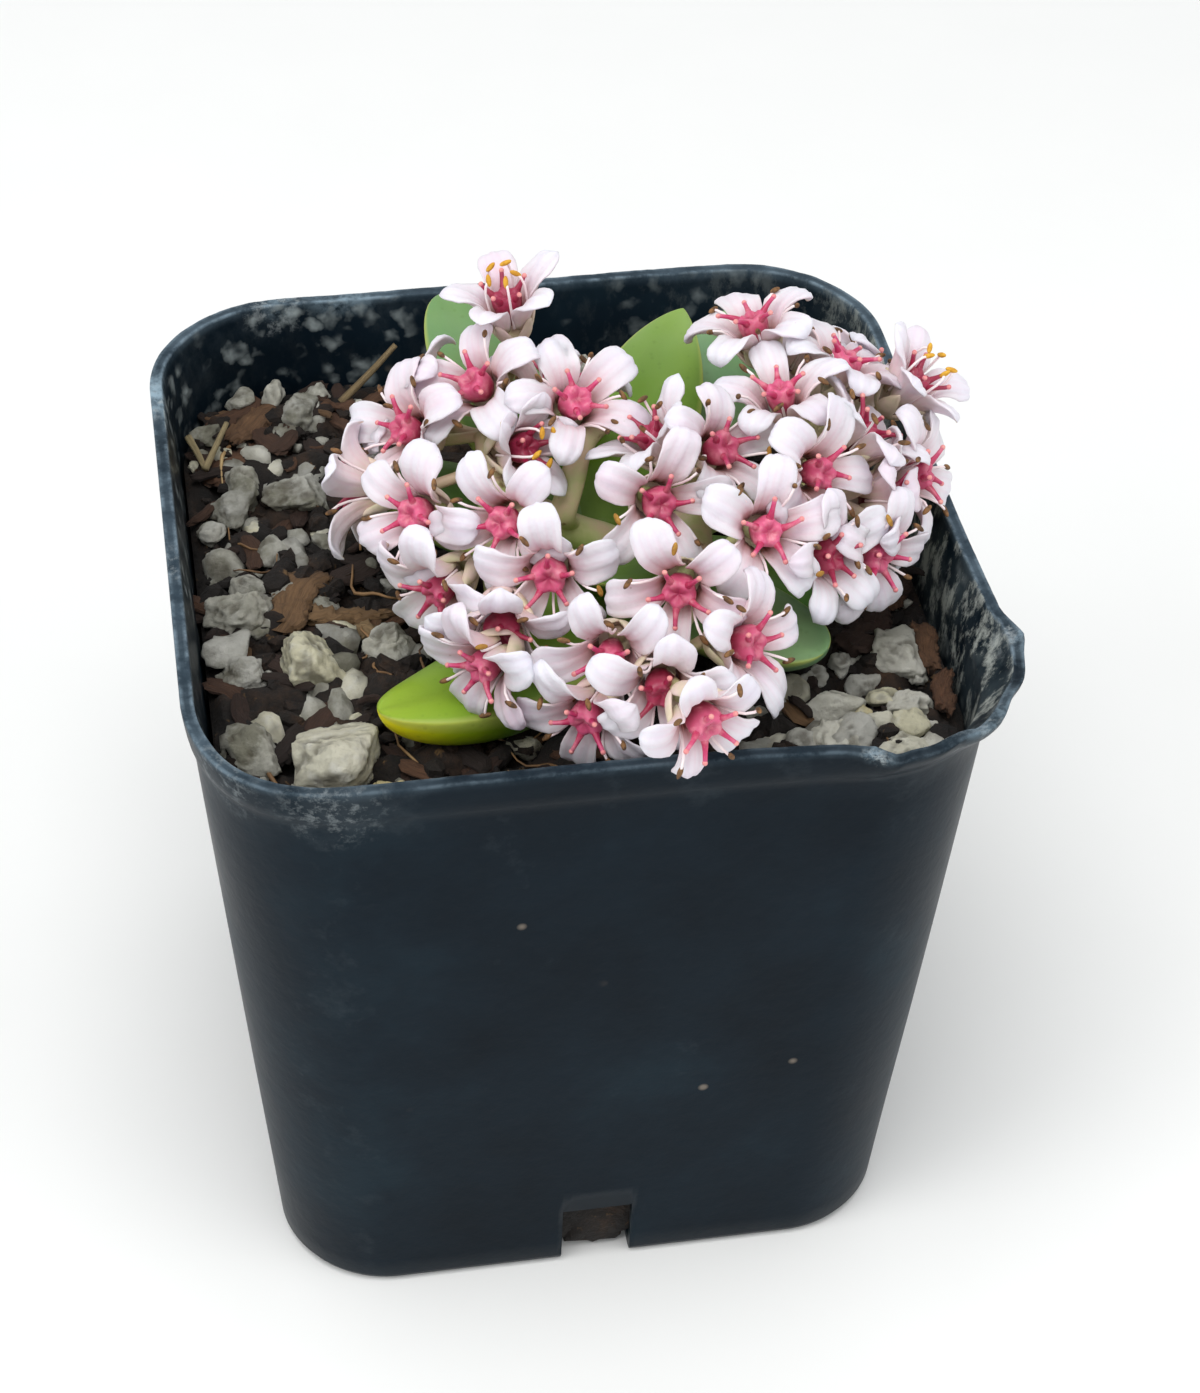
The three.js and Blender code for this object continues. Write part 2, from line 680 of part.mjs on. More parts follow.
// Stones and wood are bedded in sockets, and the soil is hollowed for the stem and low leaves
const stoneSeed = 11;
pumice.forEach((stone, i) => {
  const number = String(i + 1).padStart(2, '0');
  addPiece(`pumice_${number}`, stoneSolid(stone, stoneSeed + i, 0), colours.pumice);
});
const woodSeed = 71;
woodBits.forEach((bit, i) => addPiece(bit.name, woodSolid(bit, woodSeed + i, 0), colours.wood));
const beds = [
  grownStem,
  allLeavesGrown,
  ...pumice.map((stone, i) => stoneSolid(stone, stoneSeed + i, clearance)),
  ...woodBits.map((bit, i) => woodSolid(bit, woodSeed + i, clearance)),
];
addPiece('soil', biggestBody(buildSoil().subtract(join(beds))), colours.soil);

addPiece('flowering_stem', stalkSolid(0), colours.stalk);

// Petals clear the stalks, the leaves and the bunches placed before them
const around = [grownStem, allLeavesGrown];
bunches.forEach((bunch) => {
  const trimmed = petalsSolid(bunch, 0).subtract(join(around));
  addPiece(bunch.name, biggestBody(trimmed), colours.petal);
  around.push(petalsSolid(bunch, 0), petalsSolid(bunch, clearance));
});

export default part;
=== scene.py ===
import bpy
import math
import numpy as np
from mathutils import Matrix


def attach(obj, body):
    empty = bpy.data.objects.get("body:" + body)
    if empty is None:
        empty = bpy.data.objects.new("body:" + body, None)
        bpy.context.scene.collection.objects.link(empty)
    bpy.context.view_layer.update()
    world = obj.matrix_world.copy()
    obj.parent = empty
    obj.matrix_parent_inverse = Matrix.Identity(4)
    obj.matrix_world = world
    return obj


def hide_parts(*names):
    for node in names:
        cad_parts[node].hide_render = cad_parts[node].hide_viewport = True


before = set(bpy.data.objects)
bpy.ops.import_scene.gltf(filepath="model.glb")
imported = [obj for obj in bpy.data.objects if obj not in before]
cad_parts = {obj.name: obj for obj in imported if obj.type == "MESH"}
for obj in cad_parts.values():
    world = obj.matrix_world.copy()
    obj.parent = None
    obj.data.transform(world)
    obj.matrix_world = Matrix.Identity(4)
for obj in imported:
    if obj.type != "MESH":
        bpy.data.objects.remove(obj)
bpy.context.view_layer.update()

# Springtime crassula in a small square nursery pot. Shapes are worked out in millimetres,
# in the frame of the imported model, and turned to metres when they are put into a mesh.
mm = 0.001
tau = 2 * math.pi


# Small tools for shapes

def smooth(low, high, value):  # 0 below low, 1 above high, an S curve between them
    t = np.clip((value - low) / (high - low), 0, 1)
    return t * t * (3 - 2 * t)


def unit(vectors):
    return vectors / np.maximum(np.linalg.norm(vectors, axis=-1, keepdims=True), 1e-9)


def ringAngles(count):
    return tau * np.arange(count) / count


def squareRing(angle, power):  # reach of a rounded square by angle: the higher power, the sharper
    return (np.abs(np.cos(angle)) ** power + np.abs(np.sin(angle)) ** power) ** (-1 / power)


def resample(table, count):  # evenly spaced numbers along a table, by straight lines between
    return np.interp(np.linspace(0, len(table) - 1, count), np.arange(len(table)), table)


def turned(x, y, z, c, s):  # points turned about the upright axis, by the turn's cosine and sine
    return np.stack([c * x - s * y, s * x + c * y, z + 0 * x], axis=-1)


# Soft noise between -1 and 1: a lattice of seeded random numbers, blended by S curves in 3D
def softNoise(points, scale, seed=0):
    cell = points / scale
    low = np.floor(cell).astype(np.int64)
    part = cell - low
    part = part * part * (3 - 2 * part)
    total = np.zeros(points.shape[:-1])
    for corner in range(8):
        step = np.array([corner & 1, corner >> 1 & 1, corner >> 2 & 1])
        key = (low + step) @ np.array([73856093, 19349663, 83492791]) + seed * 2654435761
        key = (key ^ (key >> 13)) * 1274126177 & 0xFFFFFFFF
        key = (key ^ (key >> 16)) * 2246822519 & 0xFFFFFFFF
        weight = np.prod(np.where(step == 1, part, 1 - part), axis=-1)
        total += weight * ((key >> 8 & 0xFFFF) / 32767.5 - 1)
    return total


# Faces of separate lofts, each with the same count of rings and of points around: quads
# between neighbouring rings, and one many-sided face on each end
def loftFaces(count, stations, around):
    i, k = np.meshgrid(np.arange(stations - 1), np.arange(around), indexing="ij")
    near, far = i * around + k, i * around + (k + 1) % around
    quads = np.stack([near, far, far + around, near + around], axis=-1).reshape(-1, 4)
    ring = np.arange(around)
    caps = np.stack([ring[::-1], ring + (stations - 1) * around])
    offset = (np.arange(count) * stations * around)[:, None, None]
    return [(offset + quads).reshape(-1, 4), (offset + caps).reshape(-1, around)]


# Rings of round tubes: a circle of the given radius carried along each path, kept from
# turning by taking the last ring's side direction into the plane of the next
def tubeRings(paths, radii, around, flat=1):
    along = unit(np.gradient(paths, axis=1))
    side = unit(np.cross(along[:, 0], np.array([0.31, 0.83, 0.47])))
    angle = ringAngles(around)[:, None]
    radii = np.broadcast_to(radii, paths.shape[:2])
    rings = np.empty(paths.shape[:2] + (around, 3))
    for i in range(paths.shape[1]):
        side = unit(side - along[:, i] * np.sum(side * along[:, i], axis=-1, keepdims=True))
        other = np.cross(along[:, i], side)
        out = np.cos(angle) * side[:, None] + flat * np.sin(angle) * other[:, None]
        rings[:, i] = paths[:, i, None] + radii[:, i, None, None] * out
    return rings


# Small ovals, drawn as rings about a direction: the radius is the sine of the polar angle
def ballRings(centres, along, halfLength, halfWidth, stations, around):
    polar = np.linspace(0.18, math.pi - 0.18, stations)
    paths = centres[:, None] - unit(along)[:, None] * (halfLength * np.cos(polar))[:, None]
    return tubeRings(paths, halfWidth * np.sin(polar), around)


# Points evenly spread along a line of a few given points, rounded by a Catmull-Rom curve
def smoothPath(points, count):
    points = np.asarray(points, dtype=float)
    ends = np.concatenate([[2 * points[0] - points[1]], points, [2 * points[-1] - points[-2]]])
    t = np.linspace(0, len(points) - 1 - 1e-6, count)
    i = t.astype(int)
    u = (t - i)[:, None]
    p0, p1, p2, p3 = ends[i], ends[i + 1], ends[i + 2], ends[i + 3]
    return 0.5 * (2 * p1 + (p2 - p0) * u + (2 * p0 - 5 * p1 + 4 * p2 - p3) * u ** 2
                  + (3 * p1 - p0 - 3 * p2 + p3) * u ** 3)


# Puts whole arrays into a mesh object at the origin; values are one number for each point
def buildMesh(name, points, faces, material, values=None, ownMap=None, flat=False):
    mesh = bpy.data.meshes.new(name)
    corners = np.concatenate([part.ravel() for part in faces]).astype(np.int32)
    sizes = np.concatenate([np.full(len(part), part.shape[1]) for part in faces])
    starts = np.concatenate([[0], np.cumsum(sizes)[:-1]]).astype(np.int32)
    mesh.vertices.add(points.size // 3)
    mesh.vertices.foreach_set("co", (points * mm).astype(np.float32).ravel())
    mesh.loops.add(len(corners))
    mesh.loops.foreach_set("vertex_index", corners)
    mesh.polygons.add(len(sizes))
    mesh.polygons.foreach_set("loop_start", starts)
    mesh.polygons.foreach_set("use_smooth", np.full(len(sizes), not flat))
    if ownMap is not None:
        layer = mesh.uv_layers.new(name="own")
        layer.data.foreach_set("uv", ownMap.astype(np.float32).reshape(-1, 2)[corners].ravel())
    for key, numbers in (values or {}).items():
        layer = mesh.attributes.new(key, "FLOAT", "POINT")
        layer.data.foreach_set("value", np.asarray(numbers, dtype=np.float32).ravel())
    mesh.update(calc_edges=True)
    mesh.validate()
    mesh.materials.append(material)
    piece = bpy.data.objects.new(name, mesh)
    bpy.context.scene.collection.objects.link(piece)
    return piece


def finishPiece(piece, nodes=()):
    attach(piece, "root")
    if nodes:
        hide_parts(*nodes)
    print("made", piece.name, len(piece.data.polygons), "faces")


# One piece of separate lofts. Rings are counted by loft, station and point around, the values
# are spread over those points, and the piece's own map is (station, point around), 0 to 1.
def loftPiece(name, slot, rings, material, nodes=(), mapped=False, flat=False, **values):
    count, stations, around = rings.shape[:3]
    ownMap = None
    if mapped:
        v, u = np.meshgrid(np.linspace(0, 1, stations), np.arange(around) / around, indexing="ij")
        ownMap = np.broadcast_to(np.stack([v, u], axis=-1), (count, stations, around, 2))
    values = {key: np.broadcast_to(part, rings.shape[:3]) for key, part in values.items()}
    faces = loftFaces(count, stations, around)
    finishPiece(buildMesh(name, rings, faces, material, values, ownMap, flat), nodes)


def pieceLabel(name):
    return "".join(word.capitalize() for word in name.split("_"))


# Small tools for materials

def rgba(hexNumber):  # sRGB number to the linear colour that a shader takes
    parts = [(hexNumber >> shift & 255) / 255 for shift in (16, 8, 0)]
    return (*[c / 12.92 if c <= 0.04045 else ((c + 0.055) / 1.055) ** 2.4 for c in parts], 1)


class Look:  # a material in the making; each method adds a node and returns its result
    def __init__(self, name, mapped=False, **sockets):
        self.material = bpy.data.materials.new(name)
        self.material.use_nodes = True
        self.tree = self.material.node_tree
        self.shader = self.tree.nodes["Principled BSDF"]
        for key, value in sockets.items():  # a fixed value goes straight to the shader's own socket
            self.shader.inputs[key.replace("_", " ")].default_value = value
        self.place = (self.node("UVMap", uv_map="own")["UV"] if mapped
                      else self.node("TexCoord")["Object"])

    def node(self, kind, inputs=None, **settings):
        made = self.tree.nodes.new("ShaderNode" + kind)
        for key, value in settings.items():
            setattr(made, key, value)
        for key, value in (inputs or {}).items():
            if isinstance(value, bpy.types.NodeSocket):
                self.tree.links.new(value, made.inputs[key])
            else:
                made.inputs[key].default_value = value
        return made.outputs

    def mix(self, share, first, second, blend="MIX"):
        first, second = [rgba(c) if isinstance(c, int) else c for c in (first, second)]
        return self.node("Mix", {0: share, 6: first, 7: second}, data_type="RGBA",
                         blend_type=blend)[2]

    def ramp(self, share, *stops):
        result = self.node("ValToRGB", {"Fac": share})["Color"]
        elements = result.node.color_ramp.elements
        while len(elements) < len(stops):
            elements.new(1)
        for element, (place, colour) in zip(elements, stops):
            element.position, element.color = place, rgba(colour)
        return result

    def span(self, value, fromLow, fromHigh, toLow=0.0, toHigh=1.0):
        return self.node("MapRange", {"Value": value, "From Min": fromLow, "From Max": fromHigh,
                                      "To Min": toLow, "To Max": toHigh})["Result"]

    def times(self, first, second, operation="MULTIPLY"):
        return self.node("Math", {0: first, 1: second}, operation=operation)[0]

    def vector(self, operation, first, second):
        return self.node("VectorMath", {0: first, 1: second}, operation=operation)

    def axes(self):
        return self.node("SeparateXYZ", {"Vector": self.place})

    def attribute(self, name):
        return self.node("Attribute", attribute_name=name)["Fac"]

    def noise(self, scale, detail=3.0, roughness=0.55, at=None):
        return self.node("TexNoise", {"Vector": at or self.place, "Scale": scale, "Detail": detail,
                                      "Roughness": roughness})["Fac"]

    def cells(self, scale, at=None):
        return self.node("TexVoronoi", {"Vector": at or self.place, "Scale": scale})["Distance"]

    def stretched(self, *scale):
        return self.node("Mapping", {"Vector": self.place, "Scale": scale})[0]

    def link(self, value, key):
        self.tree.links.new(value, self.shader.inputs[key])

    def done(self, colour, height=None, strength=0.0, distance=0.0):  # distance in millimetres
        self.link(colour, "Base Color")
        if height:
            self.link(self.node("Bump", {"Height": height, "Strength": strength,
                                         "Distance": distance * mm})["Normal"], "Normal")
        return self.material


# Camera, floor and light

view = {"place": (-28.50, -169.40, 192.53), "yaw": -0.18660835, "pitch": 0.73283753,
        "roll": 0.03061895, "lens": 79.21}
studio = {
    "floorSize": 7000, "floorColours": (0xF3F3F1, 0xF6F6F4),
    "skyColour": (0.96, 0.98, 1.0, 1), "skyStrength": 0.7,
    # name, place, aimed at, size, watts
    "lamps": [("overhead", (-60, -120, 480), (0, 0, 50), 300, 1.04),
              ("window", (-420, -160, 380), (0, 0, 40), 300, 0.72),
              ("fill", (380, -300, 260), (0, 0, 40), 360, 0.5)],
}


def setUp(data, right, up, back, place):  # an object of the data with these three axes
    made = bpy.data.objects.new(data.name, data)
    bpy.context.scene.collection.objects.link(made)
    matrix = Matrix.Identity(4)
    for row in range(3):
        matrix[row][:] = [right[row], up[row], back[row], place[row] * mm]
    made.matrix_world = matrix
    return made


def placeCamera():
    yaw, pitch, roll = view["yaw"], view["pitch"], view["roll"]
    ahead = np.array([-math.sin(yaw) * math.cos(pitch), math.cos(yaw) * math.cos(pitch),
                      -math.sin(pitch)])
    level = unit(np.cross(ahead, [0, 0, 1]))
    above = np.cross(level, ahead)
    data = bpy.data.cameras.new("camera")
    data.lens, data.sensor_width, data.sensor_fit = view["lens"], 36, "AUTO"
    data.clip_start, data.clip_end = 0.01, 10
    right = math.cos(roll) * level + math.sin(roll) * above
    up = -math.sin(roll) * level + math.cos(roll) * above
    bpy.context.scene.camera = setUp(data, right, up, -ahead, view["place"])


def lightRoom():
    corners = np.array([[-1, -1, 0], [1, -1, 0], [1, 1, 0], [-1, 1, 0]]) * studio["floorSize"] / 2
    look = Look("floorPaper", Roughness=0.9)
    low, high = studio["floorColours"]
    paper = look.done(look.ramp(look.noise(60, 4), (0, low), (1, high)))
    floor = buildMesh("floor", corners, [np.array([[0, 1, 2, 3]])], paper, flat=True)
    world = bpy.data.worlds.new("studioSky")
    world.use_nodes = True
    sky = world.node_tree.nodes["Background"]
    sky.inputs["Color"].default_value = studio["skyColour"]
    sky.inputs["Strength"].default_value = studio["skyStrength"]
    bpy.context.scene.world = world
    for name, place, aim, size, watts in studio["lamps"]:
        data = bpy.data.lights.new(name, "AREA")
        data.shape, data.size, data.energy = "DISK", size * mm, watts
        back = unit(np.array(place, dtype=float) - np.array(aim))
        side = unit(np.cross([0.0, 0.0, 1.0], back))
        setUp(data, side, np.cross(back, side), back, place)
    bpy.context.scene.view_settings.view_transform = "Standard"


placeCamera()
lightRoom()
print("camera, floor and lights are set")


# Pot

pot = {
    "height": 56.5, "rimHalf": 27.6, "baseHalf": 23.6, "rimCorner": 10.2, "baseCorner": 8.4,
    "slotHalf": 2.7, "sideSteps": 30, "slotSteps": 8, "slotRows": 6, "cornerSteps": 34,
    "wall": 0.8, "wallFrom": 9, "wallTo": 52.6, "wallRings": 23,
    # section of the foot as height and inset: outside from the middle of the underside to the
    # top of the slots, and inside from there to the middle of the floor
    "foot": [(0, 12), (0, 4.0), (0, 0.9), (0.27, 0.27), (0.9, 0), (2.8, 0), (4.7, 0), (6.6, 0)],
    "footInside": [(6.6, 0.8), (4.7, 0.8), (2.8, 0.8), (2.0, 0.8), (1.4, 0.9), (1.3, 1.4),
                   (1.3, 4.0), (1.3, 12)],
    # section of the lip as height, inset and how strongly a highlight is painted on it, from outside
    # to inside; after its first 12 rows it faces inwards
    "outerRows": 12,
    "lip": [(53.1, -0.04, 0), (53.5, -0.16, 0), (53.9, -0.28, 0), (54.5, -0.34, 0),
            (55.3, -0.38, 0), (55.9, -0.4, 0), (56.3, -0.4, 0.2), (56.44, -0.37, 0.9),
            (56.51, -0.28, 1), (56.48, -0.05, 0.2), (56.48, 0.2, 0.2), (56.52, 0.42, 1),
            (56.45, 0.51, 0.9), (56.3, 0.54, 0.2), (55.8, 0.56, 0), (54.6, 0.66, 0), (53.0, 0.8, 0)],
    # dents of the lip: plan place, reach, outwards and upwards; a broad one and sharp kinks
    "bends": [((24, -22), 11, 1.0, -0.5), ((16.6, -28.4), 1.5, 0.2, -0.5),
              ((28.8, -17.4), 1.1, 0.6, 0.8), ((26.4, -23.4), 1.6, -0.4, 0.3),
              ((22, -27), 1.4, -0.3, 0.2), ((-24, -24), 4, 0.3, -0.2),
              ((-10, 28), 5, 0.3, -0.25), ((12, 28), 6, -0.2, 0.2)],
    # the torn stretch of the lip that is folded outwards: where it starts and ends, and how far
    "foldFrom": 16.9, "foldTo": -15.6, "foldOut": 0.6, "foldDown": 0.35, "foldBlur": (0.45, 0.5),
    # heights from which folding, bending and nicking set in
    "foldHeight": 53.0, "bendHeight": 51.5, "nickHeight": 55.9,
    "wave": 0.16, "waveLength": 17, "nicks": 0.09,
    # scrapes of dried lime, some on the lip painted highlights, then painted glints: place, reach and
    # strength
    "limeAndGlints": [((-19, -27.5, 55), 4.5, 0.36), ((-26, -24, 55), 4, 0.35),
                ((16.6, -28.8, 56), 1.3, 1.0), ((24, -26, 55.5), 3.5, 0.45),
                ((-18, 28, 56.4), 3.5, 0.7), ((-28, 16, 56.4), 3, 0.7),
                ((28, -17.5, 56), 2.6, 0.6), ((-28, -3, 56.3), 2.5, 0.5)],
    "paintedGlints": [((-28.2, 16.8, 56.2), 3.6, 0.85), ((-12.5, 28.2, 56.2), 3.4, 0.6),
               ((-17.5, 27.8, 55.5), 1.8, 0.7), ((16.9, -28.7, 56.2), 1.5, 1.0),
               ((25, -26, 56.3), 4.5, 0.45), ((29, -18, 56.3), 2.2, 0.6)],
}


def wallAt(z):  # half the width and the corner's radius at a height
    share = z / pot["height"]
    return (pot["baseHalf"] + (pot["rimHalf"] - pot["baseHalf"]) * share,
            pot["baseCorner"] + (pot["rimCorner"] - pot["baseCorner"]) * share)


def quarterTurn(quarter, x, y, z):  # the same on another of the pot's four sides
    return turned(x, y, z, *((1, 0), (0, 1), (-1, 0), (0, -1))[quarter])


# Rounded square outlines, counter-clockwise from above, one for each height and inset: on each
# side a straight run with fixed columns at the drain slot's edges, then a quarter circle
def squareOutlines(z, inset):
    half, corner = wallAt(z)
    half, corner = half - inset, np.maximum(corner - inset, 0.5)[:, None]
    reach = half[:, None] - corner
    edge = np.minimum(pot["slotHalf"], reach * 0.5)
    outer = np.linspace(0, 1, pot["sideSteps"] + 1)[:-1]
    inner = np.linspace(-1, 1, pot["slotSteps"] + 1)[:-1]
    along = np.concatenate([-reach + (reach - edge) * outer, inner * edge,
                            edge + (reach - edge) * outer], axis=1)
    angle = np.linspace(-math.pi / 2, 0, pot["cornerSteps"] + 1)[:-1]
    x = np.concatenate([along, reach + corner * np.cos(angle)], axis=1)
    y = np.concatenate([0 * along - half[:, None], -reach + corner * np.sin(angle)], axis=1)
    return np.concatenate([quarterTurn(quarter, x, y, z[:, None]) for quarter in range(4)], axis=1)


# The lip out of true. Each dent is a bell of distance in plan times a rise up the last 5 mm of
# the rim. The folded stretch is a product of S curves, at both its ends and up the rim. It
# leans out and sinks, and the top edge is nicked by two sizes of noise.
def bendLip(points):
    outward = unit(points * [1, 1, 0])
    x, y, z = np.moveaxis(points, -1, 0)
    folding, bending, nicking = [smooth(pot[key], pot["height"], z)
                                 for key in ("foldHeight", "bendHeight", "nickHeight")]
    start, end, (blurX, blurY) = pot["foldFrom"], pot["foldTo"], pot["foldBlur"]
    torn = smooth(start - blurX, start + blurX, x) * smooth(end + blurY, end - blurY, y) * folding
    nick = softNoise(points, 1.1, 4) + 0.5 * softNoise(points, 0.5, 5)
    moved = points + outward * (pot["foldOut"] * torn)[..., None]
    moved[..., 2] += pot["nicks"] * nick * nicking * (0.5 + torn) - pot["foldDown"] * torn
    for (dentX, dentY), reach, out, up in pot["bends"]:
        distance = np.hypot(x - dentX, y - dentY)
        share = np.exp(-(distance / reach) ** 2) * bending
        moved = moved + outward * (out * share)[..., None]
        moved[..., 2] += up * share
    return moved


def potMaterial():
    look = Look("potPlastic", IOR=1.49, Specular_IOR_Level=0.06)
    span, times, noise, mix = look.span, look.times, look.noise, look.mix
    x, y, z = look.axes()
    broad = noise(70, 4, 0.6)
    colour = look.ramp(broad, (0.3, 0x0A141C), (0.55, 0x101C25), (0.75, 0x182730))
    # pale mineral film: thickest under the rim and at the corners, in cloudy patches
    film = noise(130, 6, 0.68)
    high = span(z, 0.046, 0.0565)
    corner = span(times(times(x, x), times(y, y)), 1.0e-7, 2.6e-7)
    reach = times(times(high, 0.55), times(corner, 0.35), "ADD")
    filmShare = span(times(film, times(reach, 0.22), "ADD"), 0.64, 0.95, 0, 0.2)
    colour = mix(filmShare, colour, 0x6F7A80)
    # painted highlight: the top of the lip is paler than the wall, in patches and less at the front
    front = span(y, -0.0274, -0.0225, 0.4, 1)
    patchy = times(span(film, 0.4, 0.62, 0.25, 1), front)
    colour = mix(times(span(z, 0.0557, 0.0564), times(patchy, 0.62)), colour, 0x4A5A66)
    # painted highlight: thin pale lines along both edges of the lip, in patches
    highlightBreaks = span(noise(420, 5, 0.7), 0.42, 0.62, 0.05, 0.75)
    colour = mix(times(look.attribute("wear"), times(highlightBreaks, front)), colour, 0x7C8E9A)

    def near(spot, reach, core, strength):  # full inside the core, nothing beyond the reach
        away = look.vector("DISTANCE", look.place, [c * mm for c in spot])["Value"]
        return span(away, reach * mm, core * reach * mm, 0, strength)

    # pale patches: dried lime, and on the lip painted highlights
    limeAndGlintGate = span(noise(1100, 6, 0.75), 0.5, 0.64)
    for spot, reach, strength in pot["limeAndGlints"]:
        colour = mix(times(near(spot, reach, 0.3, strength), limeAndGlintGate), colour, 0xA2AAAC)
    # painted glints: bluish highlights on the top of the lip, broken up by noise
    glintGate = times(span(noise(650, 5, 0.7), 0.44, 0.6, 0.1, 1), span(z, 0.0548, 0.056))
    for spot, reach, strength in pot["paintedGlints"]:
        colour = mix(times(near(spot, reach, 0.2, strength), glintGate), colour, 0x93A9B6)
    # haze and a streaky crust on the inside, mostly at the right
    inner = look.attribute("inner")
    inside = times(times(span(x, 0.004, 0.02, 0.1, 1.0), span(y, 0.025, 0.015, 0.12, 1)), inner)
    streak = look.stretched(1.0, 1.0, 0.5)
    haze = times(inside, span(noise(160, 4, 0.6, streak), 0.38, 0.6, 0, 0.55))
    colour = mix(haze, colour, 0x4A565B)
    crust = times(span(noise(560, 6, 0.75, streak), 0.5, 0.62, 0, 0.95), inside)
    colour = mix(crust, colour, 0xA6ACA6)
    # pale blotches of uneven outline, in groups, mostly at the left
    ripple = look.node("TexNoise", {"Vector": look.place, "Scale": 520.0, "Detail": 3.0})["Color"]
    uneven = look.vector("MULTIPLY", ripple, (0.0026, 0.0026, 0.0026))[0]
    uneven = look.vector("ADD", look.place, uneven)[0]
    paleBlotch = times(span(look.cells(520.0, uneven), 0.48, 0.06), span(noise(170, 3, 0.7), 0.46, 0.56))
    leftward = span(x, -0.002, -0.014, 0.3, 0.8)
    colour = mix(times(times(paleBlotch, inner), leftward), colour, 0xA6B0B0)
    # brown soil dust in small dots and dried water spots
    dot = times(span(look.cells(230.0), 0.1, 0.04), span(noise(45, 2), 0.56, 0.62))
    colour = mix(times(dot, 0.5), colour, 0x9A8E80)
    rough = times(span(broad, 0.3, 0.7, 0.3, 0.42), times(filmShare, 0.5), "ADD")
    look.link(rough, "Roughness")
    return look.done(colour, times(noise(900, 3), noise(55, 2), "ADD"), 0.25, 0.12)


# Shell of the pot: rings (height, inset) run from the middle of the underside up the outside,
# over the lip and down the inside to the middle of the floor. Its thin walls wave by noise.
# The cells of the four drain slots are left out of both sheets, and the two outlines of each
# slot, walked round from its lower left corner, are joined through the wall.
def makePot():
    low, high, count = pot["wallFrom"], pot["wallTo"], pot["wallRings"]
    outside = pot["foot"] + [(z, 0) for z in np.linspace(low, high, count)]
    lip = [row[:2] for row in pot["lip"]]
    inside = [(z, pot["wall"]) for z in np.linspace(high - 0.1, low, count)] + pot["footInside"]
    z, inset = np.array(outside + lip + inside, dtype=float).T
    points = squareOutlines(z, inset)
    rows, columns = points.shape[:2]
    wave = softNoise(points * [1, 1, 0.6], pot["waveLength"], 3) * smooth(2, 20, points[..., 2])
    wave *= 1 - 0.6 * smooth(50, 56, points[..., 2])
    points = bendLip(points + unit(points * [1, 1, 0]) * (pot["wave"] * wave)[..., None])
    quads, caps = loftFaces(1, rows, columns)
    i, k = np.meshgrid(np.arange(rows - 1), np.arange(columns), indexing="ij")
    outLow, inLow = 1, rows - 2
    perSide, first = columns // 4, pot["sideSteps"]
    steps, slotRows = pot["slotSteps"], pot["slotRows"]
    inSlot = (k % perSide >= first) & (k % perSide < first + steps)
    outRow, inRow = (i >= outLow) & (i < outLow + slotRows), (i >= inLow - slotRows) & (i < inLow)
    kept = quads[~(inSlot & (outRow | inRow)).ravel()]
    across, up = np.arange(steps), np.arange(slotRows)
    row = np.concatenate([0 * across, up, slotRows + 0 * across, slotRows - up])
    column = np.concatenate([across, steps + 0 * up, steps - across, 0 * up]) + first
    bridges = []
    for side in range(4):
        outer = (outLow + row) * columns + side * perSide + column
        inner = (inLow - row) * columns + side * perSide + column
        bridges.append(np.stack([outer, np.roll(outer, -1), np.roll(inner, -1), inner], axis=-1))
    ring = np.arange(rows)[:, None] + np.zeros(columns)
    # how strongly the highlight is painted on each ring of the lip
    wear = np.interp(ring, len(outside) + np.arange(len(lip)), [row[2] for row in pot["lip"]])
    values = {"inner": ring >= len(outside) + pot["outerRows"], "wear": wear}
    faces = [kept, np.concatenate(bridges), caps]
    finishPiece(buildMesh("potShell", points, faces, potMaterial(), values), ["pot"])


makePot()


# Soil

soil = {
    "top": 49.2, "relief": 0.55, "edgeDrop": 0.5, "inset": 1.1, "wallFrom": 1.6, "wallRings": 26,
    "rings": 74, "scatterHalf": 25.5, "clearWall": 0.8, "clearCorner": 0.5,
    "clods": ((1.15, 2.6, 5), (0.55, 0.9, 6), (0.2, 0.45, 7)),  # height, width, seed
    # counts; then the least width, what the widest adds and the power that keeps most small
    "crumbs": 2600, "crumbWidths": (0.4, 1.7, 4), "fineStones": 270, "fineWidths": (0.9, 2.0, 2),
    # plugs in the drain slots: half width, middle height, half height, inner end and length
    "plugHalf": 2.35, "plugMiddle": 3.3, "plugRise": 2.95, "plugFrom": -20.2, "plugLength": 2.7,
}


def ground(x, y):  # three crossed waves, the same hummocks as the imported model
    broad = 0.5 * np.sin(0.31 * x + 1.3) * np.cos(0.27 * y + 0.4)
    medium = 0.3 * np.sin(0.8 * x - 0.55 * y)
    fine = 0.2 * np.sin(1.1 * y + 0.4 * x + 2)
    return soil["top"] + soil["relief"] * (broad + medium + fine)


def peatMaterial():
    look = Look("dampPeat", Roughness=0.9)
    clods, fleck = look.noise(260, 6, 0.7), look.noise(900, 3, 0.6)
    # the browns vary, and where the bump is low they darken to near black: painted shade in the hollows
    base = look.ramp(clods, (0.3, 0x070504), (0.5, 0x150E09), (0.64, 0x2E1F13), (0.8, 0x553C24))
    flecked = look.mix(look.span(fleck, 0.65, 0.74, 0, 0.5), base, 0x80623C)
    return look.done(flecked, look.times(clods, fleck, "ADD"), 0.8, 0.5)


